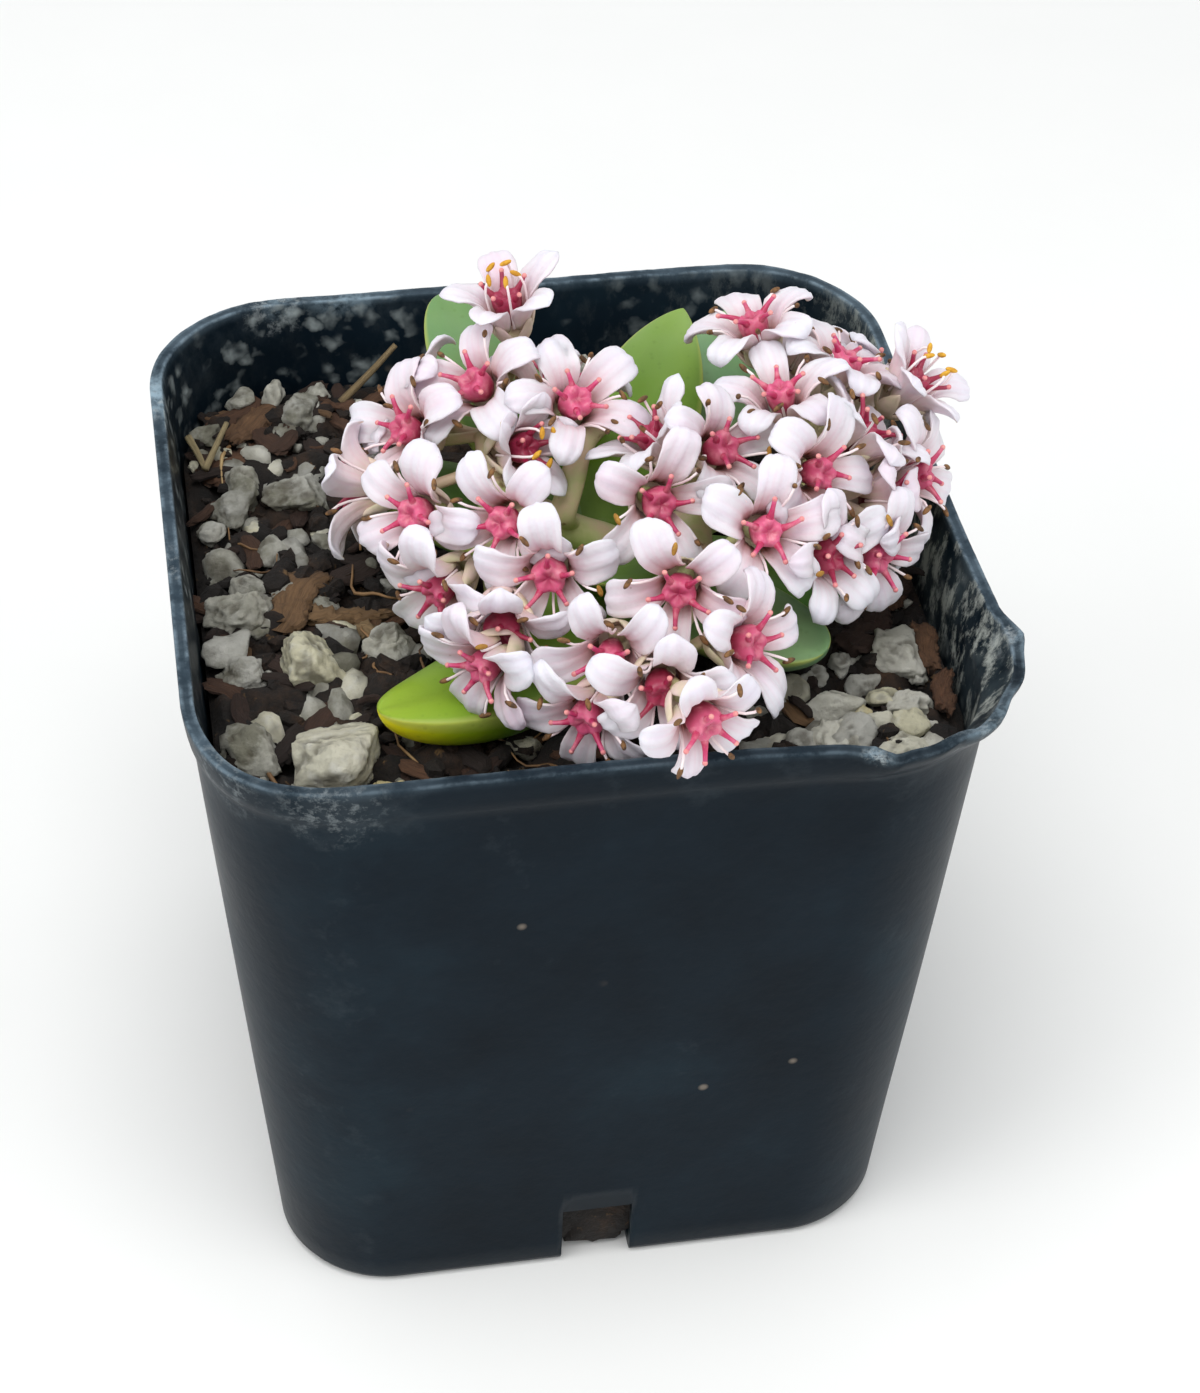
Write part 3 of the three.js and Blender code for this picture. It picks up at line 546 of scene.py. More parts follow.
# Body of the soil: outlines of the pot's wall up to the edge, swollen a little by noise, then the
# last outline shrunk to the middle at the height of the ground plus three sizes of noise
def makeSoil(material):
    edgeHeight = soil["top"] - soil["edgeDrop"]
    heights = np.linspace(soil["wallFrom"], edgeHeight, soil["wallRings"])
    side = squareOutlines(heights, np.full(len(heights), soil["inset"]))
    share = np.linspace(1, 0.02, soil["rings"])[1:, None]
    top = side[-1] * share[..., None]
    x, y = top[..., 0], top[..., 1]
    level = np.stack([x, y, 0 * x], axis=-1)
    lumps = sum(high * softNoise(level, wide, seed) for high, wide, seed in soil["clods"])
    fade = smooth(1.0, 0.96, share)
    top[..., 2] = (ground(x, y) + lumps) * fade + edgeHeight * (1 - fade)
    swell = 0.25 * softNoise(side, 1.6, 8) * smooth(0, 1, (edgeHeight - side[..., 2]) * 4)
    side[..., :2] *= 1 + np.minimum(swell, 0.1)[..., None] / 25
    loftPiece("soilBed", "soil", np.concatenate([side, top])[None], material, ["soil"])


# Plugs of soil showing in the drain slots: rings are rounded squares by a power of 6, drawn in
# towards the outer end by a circle's arc and made lumpy by noise
def makePlugs(material):
    theta = ringAngles(28)
    t = np.linspace(0, 1, 16)[:, None]
    arc = np.sqrt(np.clip(1 - np.clip((t - 0.75) / 0.27, 0, 1) ** 2, 0.05, 1))
    drawn = squareRing(theta, 6) * arc
    x = soil["plugHalf"] * np.cos(theta) * drawn
    z = soil["plugMiddle"] + soil["plugRise"] * np.sin(theta) * drawn
    ring = np.stack([x, soil["plugFrom"] - soil["plugLength"] * t + 0 * x, z], axis=-1)
    blocks = []
    for quarter in range(4):
        lumps = softNoise(ring + 31 * quarter, 0.8, 9)[..., None] * [0.09, 0.3, 0.06]
        blocks.append(quarterTurn(quarter, *np.moveaxis(ring + lumps, -1, 0)))
    loftPiece("soilPlugs", "soil", np.stack(blocks), material)


# Plan places inside the soil's outline, denser where the weight function is high
def scatter(draw, count, weight):
    places = np.empty((0, 2))
    half, corner = wallAt(soil["top"])
    half, corner = half - soil["inset"] - soil["clearWall"], corner - soil["inset"] - soil["clearCorner"]
    while len(places) < count:
        trial = draw.uniform(-soil["scatterHalf"], soil["scatterHalf"], (count * 4, 2))
        over = np.maximum(np.abs(trial) - (half - corner), 0)
        good = (np.hypot(over[:, 0], over[:, 1]) < corner) & (np.abs(trial).max(axis=1) < half)
        good &= draw.uniform(0, 1, len(trial)) < weight(trial[:, 0], trial[:, 1])
        places = np.concatenate([places, trial[good]])
    return places[:count]


def onGround(places, lifts):  # middles of things that lie on the soil, for each ring's points
    return np.column_stack([places, ground(*places.T) + lifts])[:, None, None]


def mostlySmall(draw, count, least, more, power):
    return least + more * draw.uniform(0, 1, count) ** power


lumpShapes = {
    # stations, points around, cut planes, sharpness, stretch each way, roughness, lift by width
    "pumiceStones": (54, 74, 10, 34, ((0.94, 1.0), (0.84, 0.98), (0.7, 0.82)), 0.26, 0.13),
    "finePumice": (7, 10, 6, 12, ((0.9, 1.3), (0.65, 1), (0.5, 0.85)), 0.14, 0.1),
    "loosePumice": (26, 34, 9, 16, ((0.94, 1.12), (0.84, 1), (0.74, 0.92)), 0.2, 0.3),
    "soilCrumbs": (5, 7, 5, 12, ((0.9, 1.6), (0.6, 1), (0.5, 0.85)), 0.3, 0.3),
}


# Angular lumps: the radius in each direction is a smooth version of the nearest of a few cut
# planes, so that flat facets meet in soft edges. They are wrinkled by four sizes of noise,
# stretched, turned and set on the ground. The second result is how deep each point is sunk.
def lumpRings(name, draw, places, widths):
    stations, around, planes, sharp, stretch, rough, lift = lumpShapes[name]
    count = len(widths)
    polar = np.linspace(0.06, math.pi - 0.06, stations)[:, None]
    angle = ringAngles(around)
    ray = np.stack([np.sin(polar) * np.cos(angle), np.sin(polar) * np.sin(angle),
                    -np.cos(polar) + 0 * angle], axis=-1)
    normals = unit(draw.normal(size=(count, planes, 3)))
    depth = draw.uniform(0.72, 1.0, (count, planes))
    facing = np.einsum("sak,npk->nsap", ray, normals)
    pull = (np.maximum(facing, 0) / depth[:, None, None]) ** sharp
    radius = 1 / np.maximum(pull.sum(axis=-1) ** (1 / sharp), 0.72)
    half = widths[:, None, None] / 2
    size = np.stack([draw.uniform(*limits, count) for limits in stretch], axis=-1)
    body = ray[None] * (radius * half)[..., None]
    seed = draw.integers(0, 9999)
    shifted = body + draw.uniform(0, 500, (count, 1, 1, 3))
    wrinkle = (softNoise(shifted, 1.3, seed) - 0.9 * np.abs(softNoise(shifted, 0.8, seed + 2))
               + 0.5 * softNoise(shifted, 0.4, seed + 1)
               - 0.4 * np.abs(softNoise(shifted, 0.25, seed + 3)))
    body = body * (1 + rough * wrinkle / np.maximum(half, 0.4))[..., None] * size[:, None, None]
    spin = draw.uniform(0, tau, count)[:, None, None]
    spun = turned(*np.moveaxis(body, -1, 0), np.cos(spin), np.sin(spin))
    return spun + onGround(places, lift * widths), np.clip(-wrinkle - 0.2, 0, 2)


def pumiceMaterial():
    look = Look("pumice", Roughness=0.92)
    span, noise, mix = look.span, look.noise, look.mix
    tone = look.attribute("tone")
    cream = look.ramp(tone, (0, 0xB2B1AB), (0.35, 0xD4D3CA), (0.6, 0xE6E4D6), (0.8, 0xE8E2BE),
                      (1, 0xDECA8C))
    stained = mix(span(noise(380, 6, 0.7), 0.5, 0.74, 0, 0.5), cream, 0x8E8768)
    pale = mix(span(noise(800, 4), 0.52, 0.7, 0, 0.5), stained, 0xECEBE2)
    # the greyer stones darken in patches, most of all towards the left
    x, _, _ = look.axes()
    darkPatches = look.times(span(noise(230, 5, 0.65), 0.4, 0.6, 0.1, 0.8), span(tone, 0.64, 0.5))
    pale = mix(look.times(darkPatches, span(x, 0.004, -0.006, 0.35, 1)), pale, 0x6C6A54)
    # painted shade: darker where the stone's surface is sunk in
    shadedHollows = mix(span(look.attribute("hollow"), 0.15, 1.0, 0, 0.62), pale, 0x4E4636)
    grain = noise(1300, 8, 0.8)
    # painted shade: darker in the fine bump's low spots, as shade in tiny pores
    return look.done(mix(span(grain, 0.4, 0.28, 0, 0.7), shadedHollows, 0x4A4434), grain, 1.0, 0.5)


pumice = {
    # plan place, width and tone of the 19 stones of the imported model, in their order
    "stones": [(-18.3, -18.3, 7, 0.68), (-23.4, -16.6, 4.4, 0.5), (-13.6, -22.6, 4.4, 0.95),
               (-18.4, -8.2, 5.4, 0.75), (-22.8, -1.6, 4.6, 0.55), (-22.8, 10.8, 3.6, 0.2),
               (-17.8, 11.8, 4.6, 0.3), (-12.6, -6.6, 3.6, 0.45), (-23.6, -8, 3, 0.3),
               (22.2, -12.5, 4.6, 0.5), (15.8, -20.6, 4.2, 0.6), (20.4, -22.2, 3.8, 0.66),
               (22, -17.6, 3, 0.55), (11.6, -23, 3.4, 0.55), (-16.5, 22, 3.6, 0.2),
               (22.8, 5, 4, 0.4), (20.5, 16.5, 3.8, 0.3), (6, 23.5, 3.8, 0.5),
               (-3.5, 22.4, 3.4, 0.3)],
    # the same for small stones that the photograph shows, at the right front and the left
    "small": [(18.4, -12.7, 1.6, 0.4), (19.5, -14.7, 1.9, 0.35), (16.8, -16.8, 2.6, 0.6),
              (18.6, -17.7, 1.5, 0.9), (19.7, -19.1, 1.7, 0.65), (21.6, -19.4, 2.3, 0.75),
              (17.1, -20.2, 2.9, 0.25), (15.8, -13.9, 1.8, 0.1), (20.7, -16.2, 1.9, 0.75),
              (13.9, -20.4, 2, 0.35), (23.4, -14.7, 1.3, 0.4), (23, -18.9, 1.1, 0.6),
              (-21.7, 12.9, 2.7, 0.5), (-22.3, 1.3, 2.2, 0.4), (-24.1, -5.5, 2.8, 0.35),
              (-13.3, -6.5, 2.6, 0.55), (-15.1, 24, 1.9, 0.45), (-18.5, 24.2, 2, 0.6),
              (-21, 23.6, 1.9, 0.45), (-24, 19.8, 2, 0.45), (-24.6, 8, 1.8, 0.4),
              (-20.4, 5.2, 2.2, 0.4), (-16, 5.6, 1.9, 0.4)],
    # fine stones keep clear of the small ones; the small ones' growth, the fine ones' top tone
    "clear": 1.7, "smallGrow": 1.06, "fineTone": 0.75,
}


def makeStones(material):
    def lumps(name, places, widths, tones=None, nodes=()):
        rings, hollow = lumpRings(name, draw, places, widths)
        if tones is None:
            tones = draw.uniform(0, pumice["fineTone"], len(places))
        loftPiece(name, "pumice", rings, material, nodes, tone=tones[:, None, None], hollow=hollow)

    draw = np.random.default_rng(11)
    stones = np.array(pumice["stones"])
    names = [f"pumice_{i + 1:02d}" for i in range(len(stones))]
    lumps("pumiceStones", stones[:, :2], stones[:, 2], stones[:, 3], names)

    def weight(x, y):  # thick at the left and the right front, thin in the middle
        left = 0.7 * np.exp(-((x + 20) / 6) ** 2)
        right = np.exp(-((x - 17) / 9) ** 2 - ((y + 19) / 8) ** 2)
        return 0.05 + 0.9 * np.maximum(left, right)

    draw = np.random.default_rng(12)
    seen = np.array(pumice["small"])
    places = scatter(draw, soil["fineStones"], weight)
    away = np.linalg.norm(places[:, None] - seen[None, :, :2], axis=-1).min(axis=1)
    apart = away > pumice["clear"]
    widths = mostlySmall(draw, len(places), *soil["fineWidths"])
    lumps("finePumice", places[apart], widths[apart])
    lumps("loosePumice", seen[:, :2], seen[:, 2] * pumice["smallGrow"], seen[:, 3])


def makeCrumbs(material):
    draw = np.random.default_rng(21)
    places = scatter(draw, soil["crumbs"], lambda x, y: 0.7)
    widths = mostlySmall(draw, len(places), *soil["crumbWidths"])
    rings, _ = lumpRings("soilCrumbs", draw, places, widths)
    loftPiece("soilCrumbs", "soil", rings, material, flat=True)


# Wood, straw and roots

bark = {
    # stations, points around, curl, then height, width and seed of two sizes of noise
    "bitShape": (30, 24, 0.02, ((0.2, 0.7, 63), (0.14, 0.35, 64))),
    "scrapShape": (30, 20, 0.12, ((0.2, 0.75, 61), (0.2, 0.35, 62))),
    "flakeShape": (7, 8, 0.08),
    # plan place, lift, length, width, thickness, bearing in degrees and tone: the four bits of
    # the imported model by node, then loose scraps
    "bits": {"bark_chip_left": (-21.4, 17, 0.25, 7, 4.2, 1.0, 20, 0.68),
             "bark_chip_right": (24, -3.2, 0.3, 6, 3, 1.2, 80, 0.3),
             "twig_back": (-9.5, 20.5, 0.3, 8, 1.2, 1.2, 50, 0.55),
             "twig_left": (-16, -2.6, 0.35, 7, 1.6, 1.4, -12, 0.85)},
    "scraps": [(-18.8, -0.6, 0.9, 6.5, 3.2, 0.6, 55, 0.8), (-14.2, -4.6, 0.8, 4.5, 1.4, 0.6, -20, 0.9),
               (-20.5, 20.5, 0.9, 5, 2.6, 0.6, 35, 0.75), (20.6, -9.4, 1.0, 5.5, 3.6, 1.2, 60, 0.3),
               (24.6, -12, 1.2, 5, 1.7, 0.7, 95, 0.72), (24.7, -17, 1.2, 4.5, 1.5, 0.7, 70, 0.7),
               (22.6, -5.5, 1.2, 4.5, 2, 0.7, 120, 0.68), (-12, 22.6, 1.0, 6, 1.3, 0.8, 15, 0.7)],
    # pale straws and a leaning stick, points in the frame of the rim, then radii and tones
    "straws": [[(-25.4, 18.6, -5.6), (-24.8, 17, -6), (-24.4, 15.4, -6.2)],
               [(-24.4, 15.2, -6.2), (-23.4, 17.2, -5.6), (-22.4, 19.2, -5)],
               [(-13.4, 22.8, -6.6), (-11, 23.8, -4.8), (-8.8, 24.8, -3)]],
    "strawRadii": (0.3, 0.28, 0.32), "strawTones": (1.0, 1.0, 0.93),
    # flakes: lengths, share of it that is their width, thicknesses and lifts
    "flakes": 260, "flakeLengths": (1.5, 5), "flakeShares": (0.2, 0.5), "flakeThick": (0.3, 0.7),
    "flakeLifts": (0.2, 1.0), "flakeTone": 0.8,
    # roots: lengths and radii; then half the plan box they keep to and its rounded corners
    "fibres": 46, "fibreLengths": (3, 9), "fibreRadii": (0.09, 0.2),
    "fibreLimit": 23.2, "fibreCorner": 15, "fibreRound": 8.2,
}


def barkMaterial():
    look = Look("barkFibre", mapped=True, Roughness=0.8)
    fibres = look.noise(1.0, 5, 0.6, look.stretched(3.0, 34.0, 1.0))
    body = look.ramp(look.attribute("tone"), (0, 0x1E130D), (0.4, 0x3A251A), (0.7, 0x5C3E29),
                     (0.88, 0x7E6240), (1, 0xB8A67C))
    return look.done(look.mix(look.span(fibres, 0.35, 0.7, 0, 0.6), body, 0x1A0F0A), fibres, 0.8, 0.3)


# Flat ragged bars: a rounded square ring (power 3), carried along a short line that is bent by a
# parabola and swings by a sine. Its width and thickness wander at random, and both ends taper
# by a power of 6 and are frayed at random.
def barRings(draw, places, sizes, bearings, lifts, stations, around, curl):
    count = len(places)
    length, width, thick = sizes.T[..., None, None]
    t = np.linspace(-0.5, 0.5, stations)[:, None]
    angle = tau * (np.arange(around) + 0.5) / around
    wander = draw.uniform(0.75, 1.05, (count, stations, around))
    frayed = draw.uniform(-0.06, 0.06, (count, stations, around)) * (np.abs(t) > 0.4)
    lengthwise = length * (t + frayed)
    taper = np.sqrt(np.clip(1 - (np.abs(t) * 1.9) ** 6, 0.1, 1))
    ragged = 0.5 * squareRing(angle, 3) * wander * taper
    bend = draw.uniform(-1, 1, (count, 1, 1)) * curl * length
    tilt = draw.uniform(-0.2, 0.2, (count, 1, 1)) * (length < 5)
    high = thick * np.sin(angle) * ragged + bend * (4 * t ** 2 - 0.4) + tilt * lengthwise
    across = width * np.cos(angle) * ragged + 0.06 * length * np.sin(5 * t + 9 * bend)
    c, s = np.cos(bearings)[:, None, None], np.sin(bearings)[:, None, None]
    return turned(lengthwise, across, high, c, s) + onGround(places, lifts)


def makeWood(material):
    def bars(rows, stations, around, curl, rough):
        rows = np.array(rows, dtype=float)
        rings = barRings(draw, rows[:, :2], rows[:, 3:6], np.radians(rows[:, 6]), rows[:, 2],
                         stations, around, curl)
        torn = sum(high * softNoise(rings, wide, seed) for high, wide, seed in rough)
        return rings, torn[..., None], rows[:, 7, None, None]

    draw = np.random.default_rng(71)
    rings, torn, tones = bars(list(bark["bits"].values()), *bark["bitShape"])
    for index, name in enumerate(bark["bits"]):
        loftPiece("wood" + pieceLabel(name), "bark", (rings + torn)[index:index + 1], material,
                  [name], mapped=True, tone=tones[index])
    places = scatter(draw, bark["flakes"],  # fewer among the stones at the right front
                     lambda x, y: 0.5 - 0.46 * np.exp(-((x - 19) / 6) ** 2 - ((y + 17) / 6) ** 2))
    count = len(places)
    length, share, thick = [draw.uniform(*bark[key], count)
                            for key in ("flakeLengths", "flakeShares", "flakeThick")]
    bearings, lifts = draw.uniform(0, tau, count), draw.uniform(*bark["flakeLifts"], count)
    sizes = np.column_stack([length, length * share, thick])
    rings = barRings(draw, places, sizes, bearings, lifts, *bark["flakeShape"])
    tone = mostlySmall(draw, count, 0, bark["flakeTone"], 1.5)
    loftPiece("barkFlakes", "bark", rings, material, mapped=True, flat=True,
              tone=tone[:, None, None])
    rings, torn, tones = bars(bark["scraps"], *bark["scrapShape"])
    loftPiece("barkScraps", "bark", rings + torn * [0.7, 0.7, 0.8], material, mapped=True,
              tone=tones)
    lines = np.stack([smoothPath(line, 14) for line in bark["straws"]]) + [0, 0, pot["height"]]
    radii = np.array(bark["strawRadii"])[:, None] * np.linspace(1, 0.7, 14)
    loftPiece("straws", "bark", tubeRings(lines, radii, 9), material, mapped=True,
              tone=np.array(bark["strawTones"])[:, None, None])


# Fine roots: thin tubes along lines that swing by a parabola and a sine and rise and fall by a
# cosine over the ground. Lines that would leave the soil are pressed back into its outline.
def makeFibres():
    look = Look("rootFibre", Roughness=0.7)
    material = look.done(look.ramp(look.noise(200, 2), (0.3, 0x4A3120), (0.55, 0x8B6A45),
                                   (0.75, 0xC2A878)))
    draw = np.random.default_rng(31)
    count = bark["fibres"]
    places = scatter(draw, count, lambda x, y: 0.5)
    bearing = draw.uniform(0, tau, count)[:, None]
    length = draw.uniform(*bark["fibreLengths"], count)[:, None]
    t = np.linspace(-0.5, 0.5, 9)
    swing = draw.uniform(-2, 2, (count, 1)) * (t * t) * 3 + 0.3 * np.sin(t * 11 + bearing * 7)
    limit, inner = bark["fibreLimit"], bark["fibreCorner"]
    x = places[:, :1] + length * t * np.cos(bearing) - swing * np.sin(bearing)
    y = places[:, 1:] + length * t * np.sin(bearing) + swing * np.cos(bearing)
    line = np.clip(np.stack([x, y]), -limit, limit)
    over = np.maximum(np.abs(line) - inner, 0)
    pressed = over / np.maximum(np.hypot(*over) / bark["fibreRound"], 1)
    x, y = np.sign(line) * (np.minimum(np.abs(line), inner) + pressed)
    z = ground(x, y) + 0.75 + 0.45 * np.cos(t * 7 + bearing * 3)
    radii = draw.uniform(*bark["fibreRadii"], (count, 1)) * (1 - np.abs(t))
    loftPiece("rootFibres", "bark", tubeRings(np.stack([x, y, z], axis=-1), radii, 5), material)


peat = peatMaterial()
makeSoil(peat)
makePlugs(peat)
makeCrumbs(peat)
makeStones(pumiceMaterial())
makeWood(barkMaterial())
makeFibres()


# Leaves

leaf = {
    "stations": 44, "around": 52, "grow": 0.12, "dimple": 0.16, "stem": (4, -3), "widest": 0.42,
    "tipPower": 2.3, "crownPower": 1.5, "keelPower": 1.31, "ripple": 0.05, "uneven": 0.09,
    # tip, height at the stem, sideways bow, half width, crown, keel, point, tone and roll in
    # degrees about its length
    "shapes": {
        "leaf_front_left": ((-14.9, -17, 53.6), 53.2, 3, 4.9, 1.6, 4.4, 0.5, 0.85, 11),
        "leaf_back_right": ((16.5, 19.5, 58), 52.8, 0, 4.9, 1.6, 3.4, 0.6, 0.05, 0),
        "leaf_right": ((20.4, -9, 53.4), 53, 0, 4.4, 1.6, 3.2, 0.6, 0.4, 0),
        "leaf_left": ((-13, 7.2, 55.5), 53.4, 0, 4.3, 1.6, 3.2, 0.6, 0.5, 0),
        "leaf_left_back": ((-6, 18.2, 62.5), 54, 0.5, 4.3, 1.4, 2.8, 0.5, 0.25, 0),
        "leaf_front_right": ((15.8, -17.2, 55.3), 54, -0.5, 4.4, 1.5, 2.8, 0.5, 0.2, 0),
        "leaf_upper_back": ((11.8, 15.4, 61.5), 55.2, 0.9, 4.2, 1.2, 2.6, 0.8, 0.7, 0),
        "leaf_upper_front": ((1.8, -13.2, 59.5), 55.2, 0, 3.4, 1.2, 2, 0.6, 0.6, 0),
    },
}


def leafMaterial():
    look = Look("leafFlesh", IOR=1.42, Subsurface_Weight=0.12, Subsurface_Scale=0.0016,
                Specular_IOR_Level=0.22, Subsurface_Radius=(0.5, 1.0, 0.25))
    span, times, noise, mix = look.span, look.times, look.noise, look.mix
    tone, edge, along, upper = [look.attribute(key) for key in ("tone", "edge", "along", "upper")]
    green = look.ramp(tone, (0, 0x6E9478), (0.35, 0x487A3A), (0.6, 0x527C1C), (1, 0x6E9A2A))
    # painted shade: the underside is a darker copy of the top's green
    shadedUnder = look.ramp(tone, (0, 0x4F6C56), (0.35, 0x315A28), (0.6, 0x345A14), (1, 0x4A720C))
    cloud = noise(170, 4, 0.55)
    body = mix(span(cloud, 0.42, 0.72, 0, 0.3), mix(upper, shadedUnder, green), 0x74902C)
    # towards the stem the painted shade on the underside deepens and the top turns yellow-green
    body = mix(span(along, 0.85, 0.45, 0, 0.55), body, mix(upper, 0x3C5E14, 0x74902C))
    # a dull bloom of wax on the bluer leaves, and warm tips on the yellower ones
    wax = times(span(noise(90, 3), 0.4, 0.65, 0, 0.45), span(tone, 0.9, 0.3, 0.25, 1))
    body = mix(wax, body, 0x7A9C70)
    warm = times(span(along, 0.6, 0.98, 0, 0.9), span(tone, 0.6, 0.85))
    body = mix(times(warm, span(upper, 0.0, 1.0, 1.0, 0.45)), body, 0xB6C838)
    frosted = times(span(noise(75, 2), 0.45, 0.66, 0, 0.34), upper)
    body = mix(frosted, body, 0xB2C890)
    # the keel of the front left leaf turns from green to yellow towards the tip
    # partly painted light: the yellow is brighter than the leaf's own, to lift the shade on the underside
    keel = look.ramp(along, (0.5, 0x2E5C28), (0.68, 0x5E9420), (0.82, 0xB2D016), (0.96, 0xF4E818))
    body = mix(times(span(upper, 0, 1, 0.85, 0), span(tone, 0.7, 0.84)), body, keel)
    body = mix(span(edge, 0.9, 0.99, 0, 0.7), body, 0xAEB75E)
    dots = look.cells(1300.0)
    look.link(span(cloud, 0.3, 0.7, 0.34, 0.5), "Roughness")
    return look.done(mix(span(dots, 0.25, 0.1, 0, 0.16), body, 0x4C6B2C),
                     times(noise(1200, 3), dots, "ADD"), 0.16, 0.1)


# A leaf: its middle line runs from the stem to the tip with a sideways bow. The half width eases
# in to 0.42 of the length and rounds off to the tip. Each ring has a low crown above, with a
# shallow groove, and a deep keel below: powers of the sine of the ring angle, so that both
# margins are sharp. The roll about the middle line grows from the stem outwards by an S curve.
def makeLeaf(name, material):
    tip, start, bow, half, crown, keel, point, tone, roll = leaf["shapes"][name]
    x0, y0 = leaf["stem"]
    outward = unit(np.array([tip[0] - x0, tip[1] - y0, 0.0]))
    aside = np.array([-outward[1], outward[0], 0])
    root = np.array([x0, y0, start]) + outward
    along = 1 - (1 - np.linspace(0, 1, leaf["stations"])[:, None]) ** 1.5
    along[-1] = 0.999

    def middleAt(a):
        arch = 4 * a * (1 - a)
        return root + (np.array(tip) - root) * a + arch * (aside * bow - [0, 0, 0.3])

    middle = middleAt(along)
    tangent = unit(middleAt(along + 0.01) - middle)
    across = unit(aside - tangent * (tangent @ aside)[:, None])
    normal = np.cross(tangent, across)
    roll = math.radians(roll) * smooth(0.1, 0.6, along)
    across, normal = (across * np.cos(roll) + normal * np.sin(roll),
                      normal * np.cos(roll) - across * np.sin(roll))
    widest = leaf["widest"]
    rising = 0.7 + 0.3 * np.sin(np.clip(along / widest, 0, 1) * math.pi / 2)
    beyond = np.clip((along - widest) / (1 - widest), 0, 1)
    falling = np.clip(1 - beyond ** leaf["tipPower"], 0, 1) ** point
    taper = rising * falling
    angle = ringAngles(leaf["around"])
    u, v = np.cos(angle), np.sin(angle)
    width = (half * taper + leaf["grow"] * falling) * u
    groove = leaf["dimple"] * half * taper * np.exp(-(u / 0.4) ** 2)
    rise = np.where(v > 0, crown * taper * np.abs(v) ** leaf["crownPower"] - groove * (v > 0.2),
                    -keel * taper * np.abs(v) ** leaf["keelPower"])
    rise = rise + leaf["ripple"] * taper * np.sin(9 * along + 5 * u)
    points = middle[:, None] + across[:, None] * width[..., None] + normal[:, None] * rise[..., None]
    uneven = leaf["uneven"] * softNoise(points, 3.2, 40) * taper
    points = points + normal[:, None] * uneven[..., None]
    loftPiece(pieceLabel(name).replace("Leaf", "leaf"), "leaf", points[None], material, [name],
              tone=tone, edge=np.abs(u), along=along, upper=smooth(-0.15, 0.25, v))


leafFlesh = leafMaterial()
for leafName in leaf["shapes"]:
    makeLeaf(leafName, leafFlesh)


# Places of the blooms

bloomPlaces = {
    # centre from the middle of the rim plane, bearing, tilt, turn, how far open
    "leftUpper": [
        (-2.5, 8, 11.8, 180, 80, 20, 0.5), (-5.5, 2.5, 9, -155, 50, 0, 1), (1, -0.5, 9, -65, 60, 40, 0.9),
        (-10.5, 2, 6, -160, 35, 65, 1), (-3, -2.5, 7, -50, 30, 30, 0.2), (-14, 1, 2, 160, -5, 10, 0.9),
        (-9.5, 6.5, 5, 150, 25, 15, 1), (0.5, 4.5, 6.5, 70, 25, 40, 1)],
    "leftLower": [
        (-11, -7.5, 6, -140, 25, 40, 1), (-5.5, -11, 7.5, -130, 25, 25, 1), (-3, -15, 6, -105, 10, 10, 1),
        (-10, -12, 3, -140, -10, 50, 1), (-6.5, -17, 3.5, -100, -10, 10, 0.8),
        (-8, -19.5, 2.5, -140, -5, 60, 1)],
    "rightUpper": [
        (6, -4, 8, 165, 50, 35, 0.4), (10, -7, 9, -45, 45, 30, 0.9), (5, -11, 8, -80, 25, 5, 1),
        (15, -3, 10, 160, 80, 15, 0.9), (14.5, 4, 11, 140, 70, 20, 1), (20.5, 1.5, 9, 20, 60, 50, 1),
        (25.5, 0.5, 7.5, -10, 50, 15, 0.4), (20.5, -5.5, 8, 15, 45, 60, 0.7),
        (16, -10.5, 9, -50, 25, 10, 1), (11.5, -15, 8, -80, 35, 15, 1), (16, -14.5, 5, -50, 20, 45, 0.7),
        (20, -12.5, 3, -55, 5, 20, 1), (24.6, -5.7, 4.2, -25, 20, 10, 1), (21.5, -8.5, 4.5, -15, 5, 40, 0.9),
        (18, 8, 6, 60, 60, 30, 1), (24, 5.5, 4, 30, 25, 60, 1)],
    "rightLower": [
        (5, -19, 7, -110, 15, 32, 1), (0, -21.5, 4, -110, 5, 29, 1), (9, -22, 4.5, -45, 20, 30, 1),
        (2.8, -25, 4, -95, 5, 0, 0.8), (-1.7, -23.5, 0.8, -125, -10, 10, 0.9)],
    "overRim": [(4.7, -29.2, 4.7, -70, -3, 56, 1)],
}
petalNodes = {
    "leftUpper": "left_upper_petals", "leftLower": "left_lower_petals",
    "rightUpper": "right_upper_petals", "rightLower": "right_lower_petals",
    "overRim": "rim_bloom_petals",
}
leftBranches = [
    [(4, -3, -2.5), (-0.5, -3, 0.5), (-4.5, -2, 3), (-5, 2, 5)],
    [(-4.5, -2, 3), (-5.5, -8, 2), (-6, -13, 1)]]
rightBranches = [
    [(4, -3, -2.5), (8.5, -5, 1), (14, -5, 4), (18, -1, 5)],
    [(8.5, -5, 1), (7.5, -12, 2), (4.5, -18, 1.5), (4.2, -22.5, 2)]]


# Frames of the blooms of a bunch: the facing direction from bearing and tilt, then the direction
# of the first petal, which is +X carried over by the shortest turn from +Z and spun about it
def bloomFrames(rows):
    rows = np.array(rows, dtype=float)
    bearing, tilt, turn = np.radians(rows[:, 3:6]).T
    facing = np.stack([np.cos(tilt) * np.cos(bearing), np.cos(tilt) * np.sin(bearing), np.sin(tilt)],
                      axis=-1)
    fx, fy, fz = facing.T
    level = np.stack([1 - fx * fx / (1 + fz), -fx * fy / (1 + fz), -fx], axis=-1)
    first = np.cos(turn)[:, None] * level + np.sin(turn)[:, None] * np.cross(facing, level)
    return {"centre": rows[:, :3] + [0, 0, pot["height"]], "facing": facing, "first": first,
            "second": np.cross(facing, first), "open": rows[:, 6]}


def fivefold(frames):  # each bloom's frame once for each of its five petals
    return {key: np.repeat(part, 5, axis=0) for key, part in frames.items()}


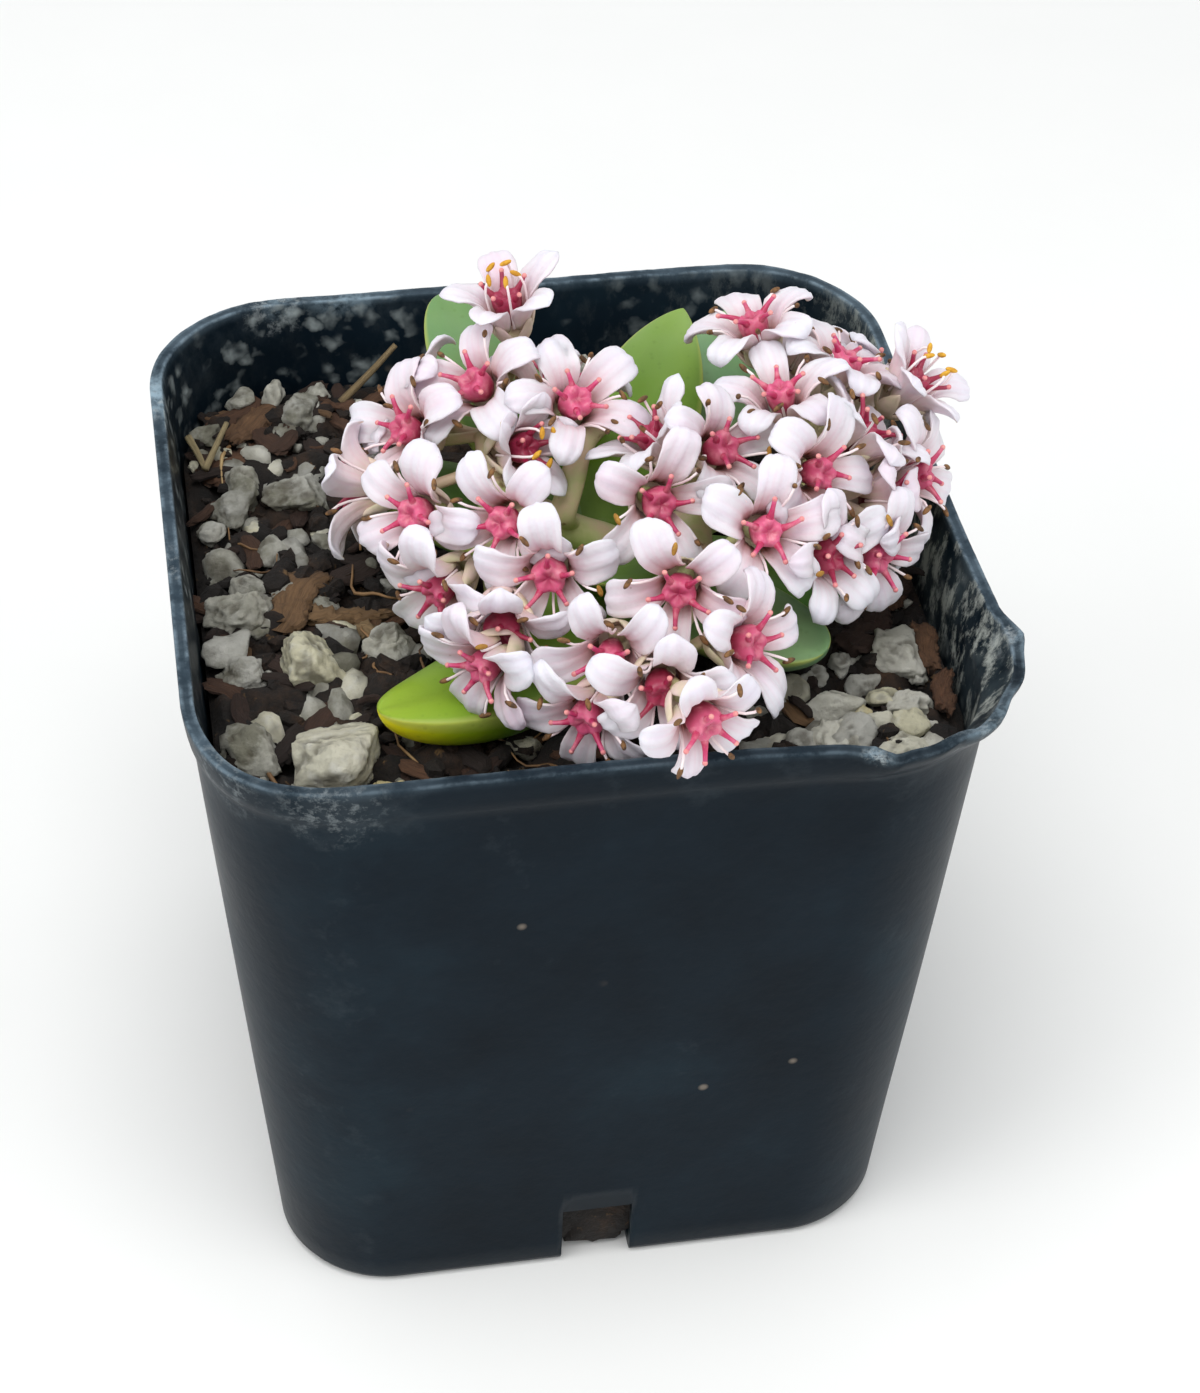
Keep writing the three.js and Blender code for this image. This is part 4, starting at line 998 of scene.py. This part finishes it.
# Directions away from the blooms' axes at an angle, and points at an angle, a reach from the
# axis and a height along it, all whole arrays with one row for each frame
def spokes(frames, angle):
    lead = (slice(None),) + (None,) * (np.ndim(angle) - 1)
    return (frames["first"][lead] * np.cos(angle)[..., None]
            + frames["second"][lead] * np.sin(angle)[..., None])


def placeIn(frames, angle, reach, height):
    lead = (slice(None),) + (None,) * (np.ndim(angle) - 1)
    return (frames["centre"][lead] + spokes(frames, angle) * np.asarray(reach)[..., None]
            + frames["facing"][lead] * (height + 0 * angle)[..., None])


bunches = {name: bloomFrames(rows) for name, rows in bloomPlaces.items()}
allBlooms = {key: np.concatenate([frames[key] for frames in bunches.values()])
             for key in ("centre", "facing", "first", "second", "open")}
allFive = fivefold(allBlooms)


# Petals

petal = {
    # the cup below the petals narrows downwards: millimetres in and down for a unit of stations
    "length": 5.2, "cupRadius": 1.42, "cupDepth": 1.0, "cupSlope": (2.2, 5.5),
    "stations": (-0.13, -0.04, 0, 0.07, 0.15, 0.25, 0.35, 0.45, 0.55, 0.65, 0.74, 0.82, 0.88, 0.93,
                 0.97, 1.0),
    "widthAt": (-0.13, 0.0, 0.12, 0.28, 0.46, 0.64, 0.79, 0.89, 0.95, 1.0),
    "widths": (0.45, 0.75, 0.94, 1.16, 1.35, 1.42, 1.27, 0.96, 0.6, 0.08),
    "around": 28, "channel": 0.38, "plump": 0.14, "thick": 0.32, "margin": 0.17, "keel": 0.24,
    "groove": 0.085, "folds": (0.42, 0.16), "midrib": 0.6, "midribWide": 0.15,
    "crinkle": 0.2, "hook": 62, "hookFrom": 0.68, "turnPower": 1.4,
    "shorter": {"overRim": 0.79},  # petals of this bunch are shorter by this factor
    # in a closed and in an open bloom: slopes in degrees at the start and the end of a petal,
    # and shares of its length and width
    "startSlopes": (82, 60), "endSlopes": (35, -50), "lengthShares": (0.82, 1),
    "widthShares": (0.86, 1),
    # how far a petal may stray: share of its length and width, then degrees
    "lengthJitter": 0.09, "widthJitter": 0.12, "skew": 0.16, "channelJitter": 0.12,
    "startJitter": 4, "curlJitter": 22, "lean": 8, "twist": 17,
}


def petalMaterial():
    look = Look("petalFlesh", Roughness=0.45, IOR=1.4, Specular_IOR_Level=0.35,
                Subsurface_Weight=0.4, Subsurface_Scale=0.0011, Subsurface_Radius=(1.0, 0.85, 0.9))
    span, times, noise, mix = look.span, look.times, look.noise, look.mix
    along = look.attribute("along")
    # painted shade: the inner face darkens to brown at its foot, in the cup round the pistil
    face = look.ramp(along, (0.0, 0x4E2A1C), (0.1, 0x8E5A4A), (0.17, 0xD2AEA8), (0.3, 0xE2D0D2),
                     (0.5, 0xE4DEE4), (1.0, 0xE3E4EE))
    back = look.ramp(along, (0.0, 0xC0B98E), (0.15, 0xD8C2B4), (0.35, 0xE3CFD0), (0.6, 0xE4DADF),
                     (0.94, 0xE3E1E9), (1.0, 0xCDBB92))
    body = mix(look.attribute("inner"), back, face)
    flush = times(look.attribute("tint"), span(noise(260, 2), 0.4, 0.7, 0.1, 0.62))
    body = mix(flush, body, 0xF8CED6, "MULTIPLY")
    # faint veins along the petal, and a thin violet shade between them
    ribs = times(times(look.attribute("across"), 17.0), 0.5, "SINE")
    ribs = times(span(ribs, -0.2, 1.0, 0, 0.15), span(along, 0.1, 0.8, 1, 0.3))
    body = mix(ribs, body, 0xE39BB4)
    body = mix(span(noise(500, 3, 0.5), 0.5, 0.8, 0, 0.35), body, 0xD9CFE6)
    # a few tiny brown specks
    speck = times(span(look.cells(480.0), 0.055, 0.03), span(noise(60, 2), 0.45, 0.6))
    body = mix(times(speck, 0.55), body, 0x8A6048)
    return look.done(body, times(noise(1800, 2), times(ribs, 2.0), "SUBTRACT"), 0.3, 0.14)


# Petals of a bunch. The middle line of each leaves the cup steeply, its slope turns over with
# the 1.4th power of the way along, and a hook is added at the tip; the line is the running sum
# of short steps at that slope. Rings are flattened ovals with a ridge outside and two folds
# inside. The margins are raised into a channel by the square of the way across, near the cup,
# and lowered beyond it, where the petal is plump. Outlines are skewed and crinkled by noise.
def makePetals(name, frames, seed, material):
    draw = np.random.default_rng(seed)
    count = len(frames["centre"])
    frames = fivefold(frames)
    opened = frames["open"][:, None]
    jitter = lambda size: draw.uniform(-1, 1, (count * 5, 1)) * size
    bent = lambda pair: pair[0] + (pair[1] - pair[0]) * opened  # from closed to open
    startSlope = np.radians(bent(petal["startSlopes"]) + jitter(petal["startJitter"]))
    endSlope = np.radians(bent(petal["endSlopes"]) + jitter(petal["curlJitter"]))
    length = petal["length"] * bent(petal["lengthShares"]) * (1 + jitter(petal["lengthJitter"]))
    length = length * petal["shorter"].get(name, 1)
    fine = np.linspace(0, 1, 101)
    slopes = startSlope + (endSlope - startSlope) * fine ** petal["turnPower"]
    slopes = slopes - np.radians(petal["hook"]) * opened * smooth(petal["hookFrom"], 1.02, fine)
    steps = np.stack([np.cos(slopes), np.sin(slopes)]) * length * 0.01
    stations = np.array(petal["stations"])
    pick = np.clip(np.round(stations * 100).astype(int), 0, 100)
    run, climb = (np.cumsum(steps, axis=-1) - steps)[..., pick]
    slope = slopes[:, pick]
    before, way = np.minimum(stations, 0), np.clip(stations, 0, 1)
    angle = np.tile(ringAngles(5), count)[:, None] + np.radians(jitter(petal["lean"])) * way
    half = np.interp(stations, petal["widthAt"], petal["widths"]) * (1 + jitter(petal["widthJitter"]))
    half = (half * bent(petal["widthShares"]))[..., None]
    twist = (np.radians(jitter(petal["twist"])) * way)[..., None]
    radial, sideways = spokes(frames, angle), spokes(frames, angle + math.pi / 2)
    inside = (frames["facing"][:, None] * np.cos(slope)[..., None]
              - radial * np.sin(slope)[..., None])
    across = (sideways * np.cos(twist) + inside * np.sin(twist))[:, :, None]
    inside = (inside * np.cos(twist) - sideways * np.sin(twist))[:, :, None]
    cupOut, cupDown = petal["cupSlope"]
    middle = placeIn(frames, angle, petal["cupRadius"] + run + before * cupOut,
                     -petal["cupDepth"] + climb + before * cupDown)
    theta = ringAngles(petal["around"])
    w, v = np.cos(theta), np.sin(theta)
    full = np.clip(half / 1.1, 0.2, 1)
    channel = petal["channel"] - (petal["channel"] + petal["plump"]) * smooth(0.3, 0.72, stations)
    channel = (channel + jitter(petal["channelJitter"]))[..., None]
    ridge = petal["keel"] * full * np.exp(-(w / 0.3) ** 2)
    ridge = ridge * np.interp(stations, (0, 0.6, 1), (1, 1, 0.5))[:, None]
    blunt = full * np.sign(v) * np.abs(v) ** 0.6
    foldAt, foldWide = petal["folds"]
    folds = (np.exp(-((np.abs(w) - foldAt) / foldWide) ** 2)
             - petal["midrib"] * np.exp(-(w / petal["midribWide"]) ** 2))
    folds = petal["groove"] * full * folds * smooth(0.2, 0.6, v)
    rise = np.where(v >= 0, petal["margin"] * blunt - folds,
                    petal["thick"] * blunt * (0.5 + 0.5 * np.abs(v)) + ridge * np.minimum(v, 0))
    skew = jitter(petal["skew"])[..., None] * np.sin(way * math.pi)[:, None] * w ** 2
    points = (middle[:, :, None] + across * (half * (w + skew))[..., None]
              + inside * (rise + channel * half * w ** 2)[..., None])
    crinkle = softNoise(points, 1.3, seed) + 0.35 * softNoise(points, 0.6, seed + 50)
    crinkle = crinkle * petal["crinkle"] * np.clip(0.25 + np.abs(w), 0, 1) * full
    tint = draw.uniform(0, 1, (count * 5, 1, 1))
    tint = tint * (0.6 + 0.4 * np.repeat(draw.uniform(0, 1, (count, 1, 1)), 5, axis=0))
    loftPiece(name + "Petals", "petal", points + inside * crinkle[..., None], material,
              [petalNodes[name]], along=np.clip((stations + 0.13) / 1.13, 0, 1)[:, None], across=w,
              inner=v > -0.05, tint=tint)


petalFlesh = petalMaterial()
for bunchIndex, (bunchName, bunchFrames) in enumerate(bunches.items()):
    makePetals(bunchName, bunchFrames, 100 + bunchIndex, petalFlesh)


# Pistils, stamens and calyx

heart = {
    # dome of the five grown-together carpels: reach, height and depth of its five lobes
    "domeReach": (0.25, 0.7, 1.0, 1.12, 1.16, 1.12, 0.98, 0.72, 0.38, 0.05),
    "domeHeight": (-1.8, -1.3, -0.7, -0.15, 0.22, 0.56, 0.84, 0.96, 0.8, 0.6),
    "domeLobes": (0.0, 0.04, 0.07, 0.08, 0.08, 0.09, 0.1, 0.11, 0.1, 0.0), "domeSizes": (0.86, 1.06),
    # style on each carpel: reach, height and radius
    "styleReach": (0.72, 0.98, 1.2, 1.46, 1.74, 2.0), "styleHeight": (0.5, 0.76, 0.94, 1.1, 1.24, 1.36),
    "styleRadius": (0.3, 0.27, 0.21, 0.17, 0.16, 0.155), "stigma": 0.19,
    "filamentReach": (1.3, 1.65, 2.1, 2.6, 3.1, 3.4), "filamentHeight": (-1.3, -0.5, 0.3, 0.85, 1.1, 1.15),
    "filamentRadius": 0.1, "antherHalf": 0.46, "antherWidth": 0.19,
    "sepalReach": (0.5, 1.0, 1.45, 1.8, 2.1), "sepalHeight": (-3.1, -2.7, -2.0, -1.2, -0.4),
    "sepalHalf": (0.5, 0.75, 0.7, 0.45, 0.06),
    # how far styles and filaments stray sideways, and how the lengths of styles vary
    "styleStray": 0.13, "filamentStray": 0.1, "styleLengths": (0.82, 1.2),
    # blooms with fresh stamens, and more blooms with a dark pistil
    "youngBlooms": [0, 4, 20], "darkBlooms": [5, 12, 14, 21, 24, 33],
}


def radialPaths(reach, height, offset=0.0, wobble=0.0):  # five lines out from each bloom's axis
    reach = np.array(reach)
    angle = np.tile(ringAngles(5), len(allBlooms["open"]))[:, None] + offset
    angle = angle + wobble * np.clip(reach - 0.9, 0, 9) + 0 * reach
    return placeIn(allFive, angle, reach + 0 * angle, np.array(height))


def pistilMaterial(name, *stops):
    look = Look(name, Roughness=0.38, Subsurface_Weight=0.15, Subsurface_Scale=0.0005,
                Subsurface_Radius=(1.0, 0.35, 0.4))
    cloud = look.noise(1300, 3)
    tone = look.ramp(look.attribute("along"), *stops)
    mottled = look.mix(look.span(cloud, 0.48, 0.68, 0, 0.55), tone, 0xE89AA4)
    ripe = look.mix(look.times(look.attribute("youth"), 0.75), mottled, 0x8E0E34)
    return look.done(ripe, cloud, 0.3, 0.08)


def plainMaterial(name, scale, *stops):
    look = Look(name, Roughness=0.5)
    cloud = look.noise(scale, 3)
    return look.done(look.ramp(cloud, *stops), cloud, 0.2, 0.1)


# Pistil: a dome whose profile (reach, height) is carried round the bloom's axis and swells in
# five lobes, by the cosine of five times the angle. A short style leaves the top of each lobe
# and ends in a ball; in a closed bloom the styles stand steeper.
def makePistils():
    draw = np.random.default_rng(41)
    count = len(allBlooms["open"])
    youth = np.clip(draw.uniform(-0.5, 0.45, count), 0, 1)
    youth[heart["youngBlooms"] + heart["darkBlooms"]] = 1
    levels, around = 19, 40
    reach, height, lobes = [resample(heart[key], levels)[:, None]
                            for key in ("domeReach", "domeHeight", "domeLobes")]
    angle = ringAngles(around) + np.zeros((count, levels, 1))
    wave = np.cos(5 * angle) - 0.35 * np.abs(np.cos(2.5 * angle)) ** 8
    size = draw.uniform(*heart["domeSizes"], (count, 1, 1))
    rings = placeIn(allBlooms, angle, size * reach * (1 + lobes * wave), height + 0.9 * lobes * wave)
    rose = pistilMaterial("carpelFlesh", (0.0, 0x5C2028), (0.3, 0xA63A56), (0.5, 0xCC5276),
                          (0.75, 0xD95F86), (1.0, 0xB0325A))
    loftPiece("pistils", "stalk", rings, rose, ["flowering_stem"],
              along=np.linspace(0, 1, levels)[:, None], youth=youth[:, None, None])
    wobble = draw.uniform(-1, 1, (count * 5, 1)) * heart["styleStray"]
    paths = radialPaths(heart["styleReach"], heart["styleHeight"], 0.0, wobble)
    t = np.linspace(0, 1, 6)[:, None]
    closed = 1 - allFive["open"][:, None, None]
    base = paths[:, :1]
    length = draw.uniform(*heart["styleLengths"], (len(paths), 1, 1))
    paths = base + (paths - base) * length * (1 - 0.45 * closed * t)
    lifted = draw.uniform(-0.12, 0.28, (len(paths), 1, 1)) + 0.9 * closed
    paths = paths + allFive["facing"][:, None] * t ** 1.5 * lifted
    crimson = pistilMaterial("styleFlesh", (0.0, 0xC24668), (0.3, 0xBA2A58), (0.7, 0xC63A6C),
                             (1.0, 0xD46088))
    loftPiece("styles", "stalk", tubeRings(paths, heart["styleRadius"], 8), crimson, along=t,
              youth=np.repeat(youth, 5)[:, None, None])
    balls = ballRings(paths[:, -1], paths[:, -1] - paths[:, -2], heart["stigma"], heart["stigma"], 7, 9)
    loftPiece("stigmas", "stalk", balls,
              plainMaterial("stigmaDots", 3000, (0.3, 0xDC7A82), (0.7, 0xEBA69C)))


# Stamens: thin filaments between the petals, each with an oval anther turned at random. In a
# young bloom the filaments stand close round the pistil and the anthers are fresh and yellow.
def makeStamens():
    draw = np.random.default_rng(42)
    count = len(allBlooms["open"])
    wobble = draw.uniform(-1, 1, (count * 5, 1)) * heart["filamentStray"]
    paths = radialPaths(heart["filamentReach"], heart["filamentHeight"], math.pi / 5, wobble)
    facing, centre = allFive["facing"][:, None], allFive["centre"][:, None]
    young = np.isin(np.arange(count), heart["youngBlooms"])
    closed = np.repeat(np.where(young, 0.95, 1 - allBlooms["open"]), 5)[:, None, None]
    t = np.linspace(0, 1, 6)[:, None]
    rise = np.sum((paths - centre) * facing, axis=-1, keepdims=True) * facing
    drawnIn = (paths - centre - rise) * (1 - 0.7 * closed * t)
    paths = centre + rise + drawnIn + facing * 1.6 * closed * t
    stretch = draw.uniform(-0.3, 0.3, (len(paths), 1, 1))
    paths = paths + (paths[:, -1:] - paths[:, -2:-1]) * stretch * t
    loftPiece("filaments", "petal", tubeRings(paths, heart["filamentRadius"], 6),
              plainMaterial("filamentFlesh", 900, (0.3, 0xF2D9DC), (0.7, 0xFBF3F2)))
    outward = unit(paths[:, -1] - paths[:, -3])
    aimed = outward + 0.8 * draw.normal(size=outward.shape)
    rings = ballRings(paths[:, -1], aimed, heart["antherHalf"], heart["antherWidth"], 8, 10)
    look = Look("antherPollen", Roughness=0.75)
    cloud = look.noise(2500, 3)
    old = look.ramp(cloud, (0.35, 0x4A3320), (0.65, 0x8A6238))
    fresh = look.ramp(cloud, (0.35, 0xC08418), (0.65, 0xE0AC34))
    material = look.done(look.mix(look.attribute("age"), old, fresh), cloud, 0.5, 0.1)
    age = np.where(draw.uniform(0, 1, len(paths)) < 0.12, 0.45, 0.0)
    age = np.where(np.repeat(young, 5), 1.0, age)
    loftPiece("anthers", "petal", rings, material, age=age[:, None, None])


# Sepals: narrow pointed blades pressed against the outside of the cup, rings are flat ovals
# whose margins are raised by the square of the way across
def makeCalyx():
    paths = radialPaths(heart["sepalReach"], heart["sepalHeight"])
    fine = np.stack([smoothPath(path, 9) for path in paths])
    half = resample(heart["sepalHalf"], 9)[:, None]
    along = unit(np.gradient(fine, axis=1))
    facing = allFive["facing"][:, None]
    radial = fine - allFive["centre"][:, None]
    radial = unit(radial - facing * np.sum(radial * facing, axis=-1, keepdims=True))
    across = np.cross(facing, radial)
    inward = np.cross(along, across)
    angle = ringAngles(12)
    w, v = np.cos(angle), np.sin(angle)
    rise = 0.2 * v + 0.25 * half * w ** 2
    rings = (fine[:, :, None] + across[:, :, None] * (half * w)[..., None]
             + inward[:, :, None] * rise[..., None])
    loftPiece("sepals", "petal", rings, plainMaterial(
        "sepalFlesh", 500, (0.3, 0xBEBB92), (0.5, 0xD8C6B0), (0.7, 0xE4CAC6)))


makePistils()
makeStamens()
makeCalyx()


# Flower stalks

stalk = {
    "stemPath": [(4, -3, -15.5), (4.1, -3, -9.5), (4, -3, -1.7)], "stemRadii": (2.7, 1.9),
    "branchRadii": (1.5, 0.8), "pedicelRadius": 0.42, "calyxDepth": 2.6,
    # arched bract between the two heads, and half its width
    "bract": [(0.2, -3, 0.3), (-0.4, -4.4, 2.3), (0.4, -3.4, 4.4), (1.1, -2.1, 5.9), (2.1, -1.3, 7),
              (3.6, -1.1, 7.8), (5.0, -1.5, 7.6), (6.0, -2.4, 6.4)],
    "bractRadii": (1.0, 0.95, 0.9, 0.85, 0.8, 0.7, 0.5, 0.12), "bractFlat": 0.6,
    "swell": 0.06, "pedicelBend": 0.35, "pedicelFoot": 0.5,
}


def stalkMaterial():
    look = Look("stalkSkin", Roughness=0.5)
    skin = look.ramp(look.noise(240, 4, 0.6), (0.3, 0x9FAE62), (0.45, 0xBFC088), (0.6, 0xD2B99A),
                     (0.8, 0xDDBBAA))
    scars = look.noise(700, 3, 0.6)
    return look.done(look.mix(look.span(scars, 0.62, 0.7, 0, 0.7), skin, 0x6B4026), scars, 0.35, 0.2)


def nearestOnBranches(points, branches):
    best = np.full(len(points), np.inf)
    found = np.zeros_like(points)
    for branch in branches:
        line = np.array(branch, dtype=float) + [0, 0, pot["height"]]
        for a, b in zip(line[:-1], line[1:]):
            t = np.clip((points - a) @ (b - a) / np.dot(b - a, b - a), 0, 1)[:, None]
            spot = a + t * (b - a)
            gap = np.linalg.norm(points - spot, axis=1)
            found = np.where((gap < best)[:, None], spot, found)
            best = np.minimum(gap, best)
    return found


# Stalks: the stem and the branches are tapering tubes that swell by a sine. Each pedicel leaves
# the nearest point of its head's branches, comes to its bloom from behind along a curve of the
# second degree, and widens below it with the 4th power of the way.
def makeStalks():
    lift = [0, 0, pot["height"]]
    branches = [(branch, stalk["branchRadii"]) for branch in leftBranches + rightBranches]
    lines = [(stalk["stemPath"], stalk["stemRadii"])] + branches
    tubes = np.stack([smoothPath(line, 26) for line, _ in lines]) + lift
    radii = np.stack([np.linspace(*ends, 26) for _, ends in lines])
    thick = tubeRings(tubes, radii * (1 + stalk["swell"] * np.sin(np.linspace(0, 19, 26))), 20)
    starts, ends = [], []
    for name, frames in bunches.items():
        end = frames["centre"] - frames["facing"] * stalk["calyxDepth"]
        starts.append(nearestOnBranches(end, leftBranches if "left" in name else rightBranches))
        ends.append(end)
    starts, ends = np.concatenate(starts), np.concatenate(ends)
    reach = np.linalg.norm(ends - starts, axis=1, keepdims=True)
    t = np.linspace(0, 1, 10)[:, None]
    bend = (ends - allBlooms["facing"] * reach * stalk["pedicelBend"])[:, None]
    paths = (1 - t) ** 2 * starts[:, None] + 2 * t * (1 - t) * bend + t ** 2 * ends[:, None]
    thin = tubeRings(paths, stalk["pedicelRadius"] * (1 + stalk["pedicelFoot"] * t[:, 0] ** 4), 8)
    bract = smoothPath(stalk["bract"], 40)[None] + lift
    bractRings = tubeRings(bract, resample(stalk["bractRadii"], 40), 20, stalk["bractFlat"])
    material = stalkMaterial()
    loftPiece("archedBract", "stalk", bractRings, material)
    faces = loftFaces(*thick.shape[:3]) + [part + thick.size // 3 for part in loftFaces(*thin.shape[:3])]
    points = np.concatenate([thick.reshape(-1, 3), thin.reshape(-1, 3)])
    finishPiece(buildMesh("flowerStalks", points, faces, material), ["flowering_stem"])


makeStalks()
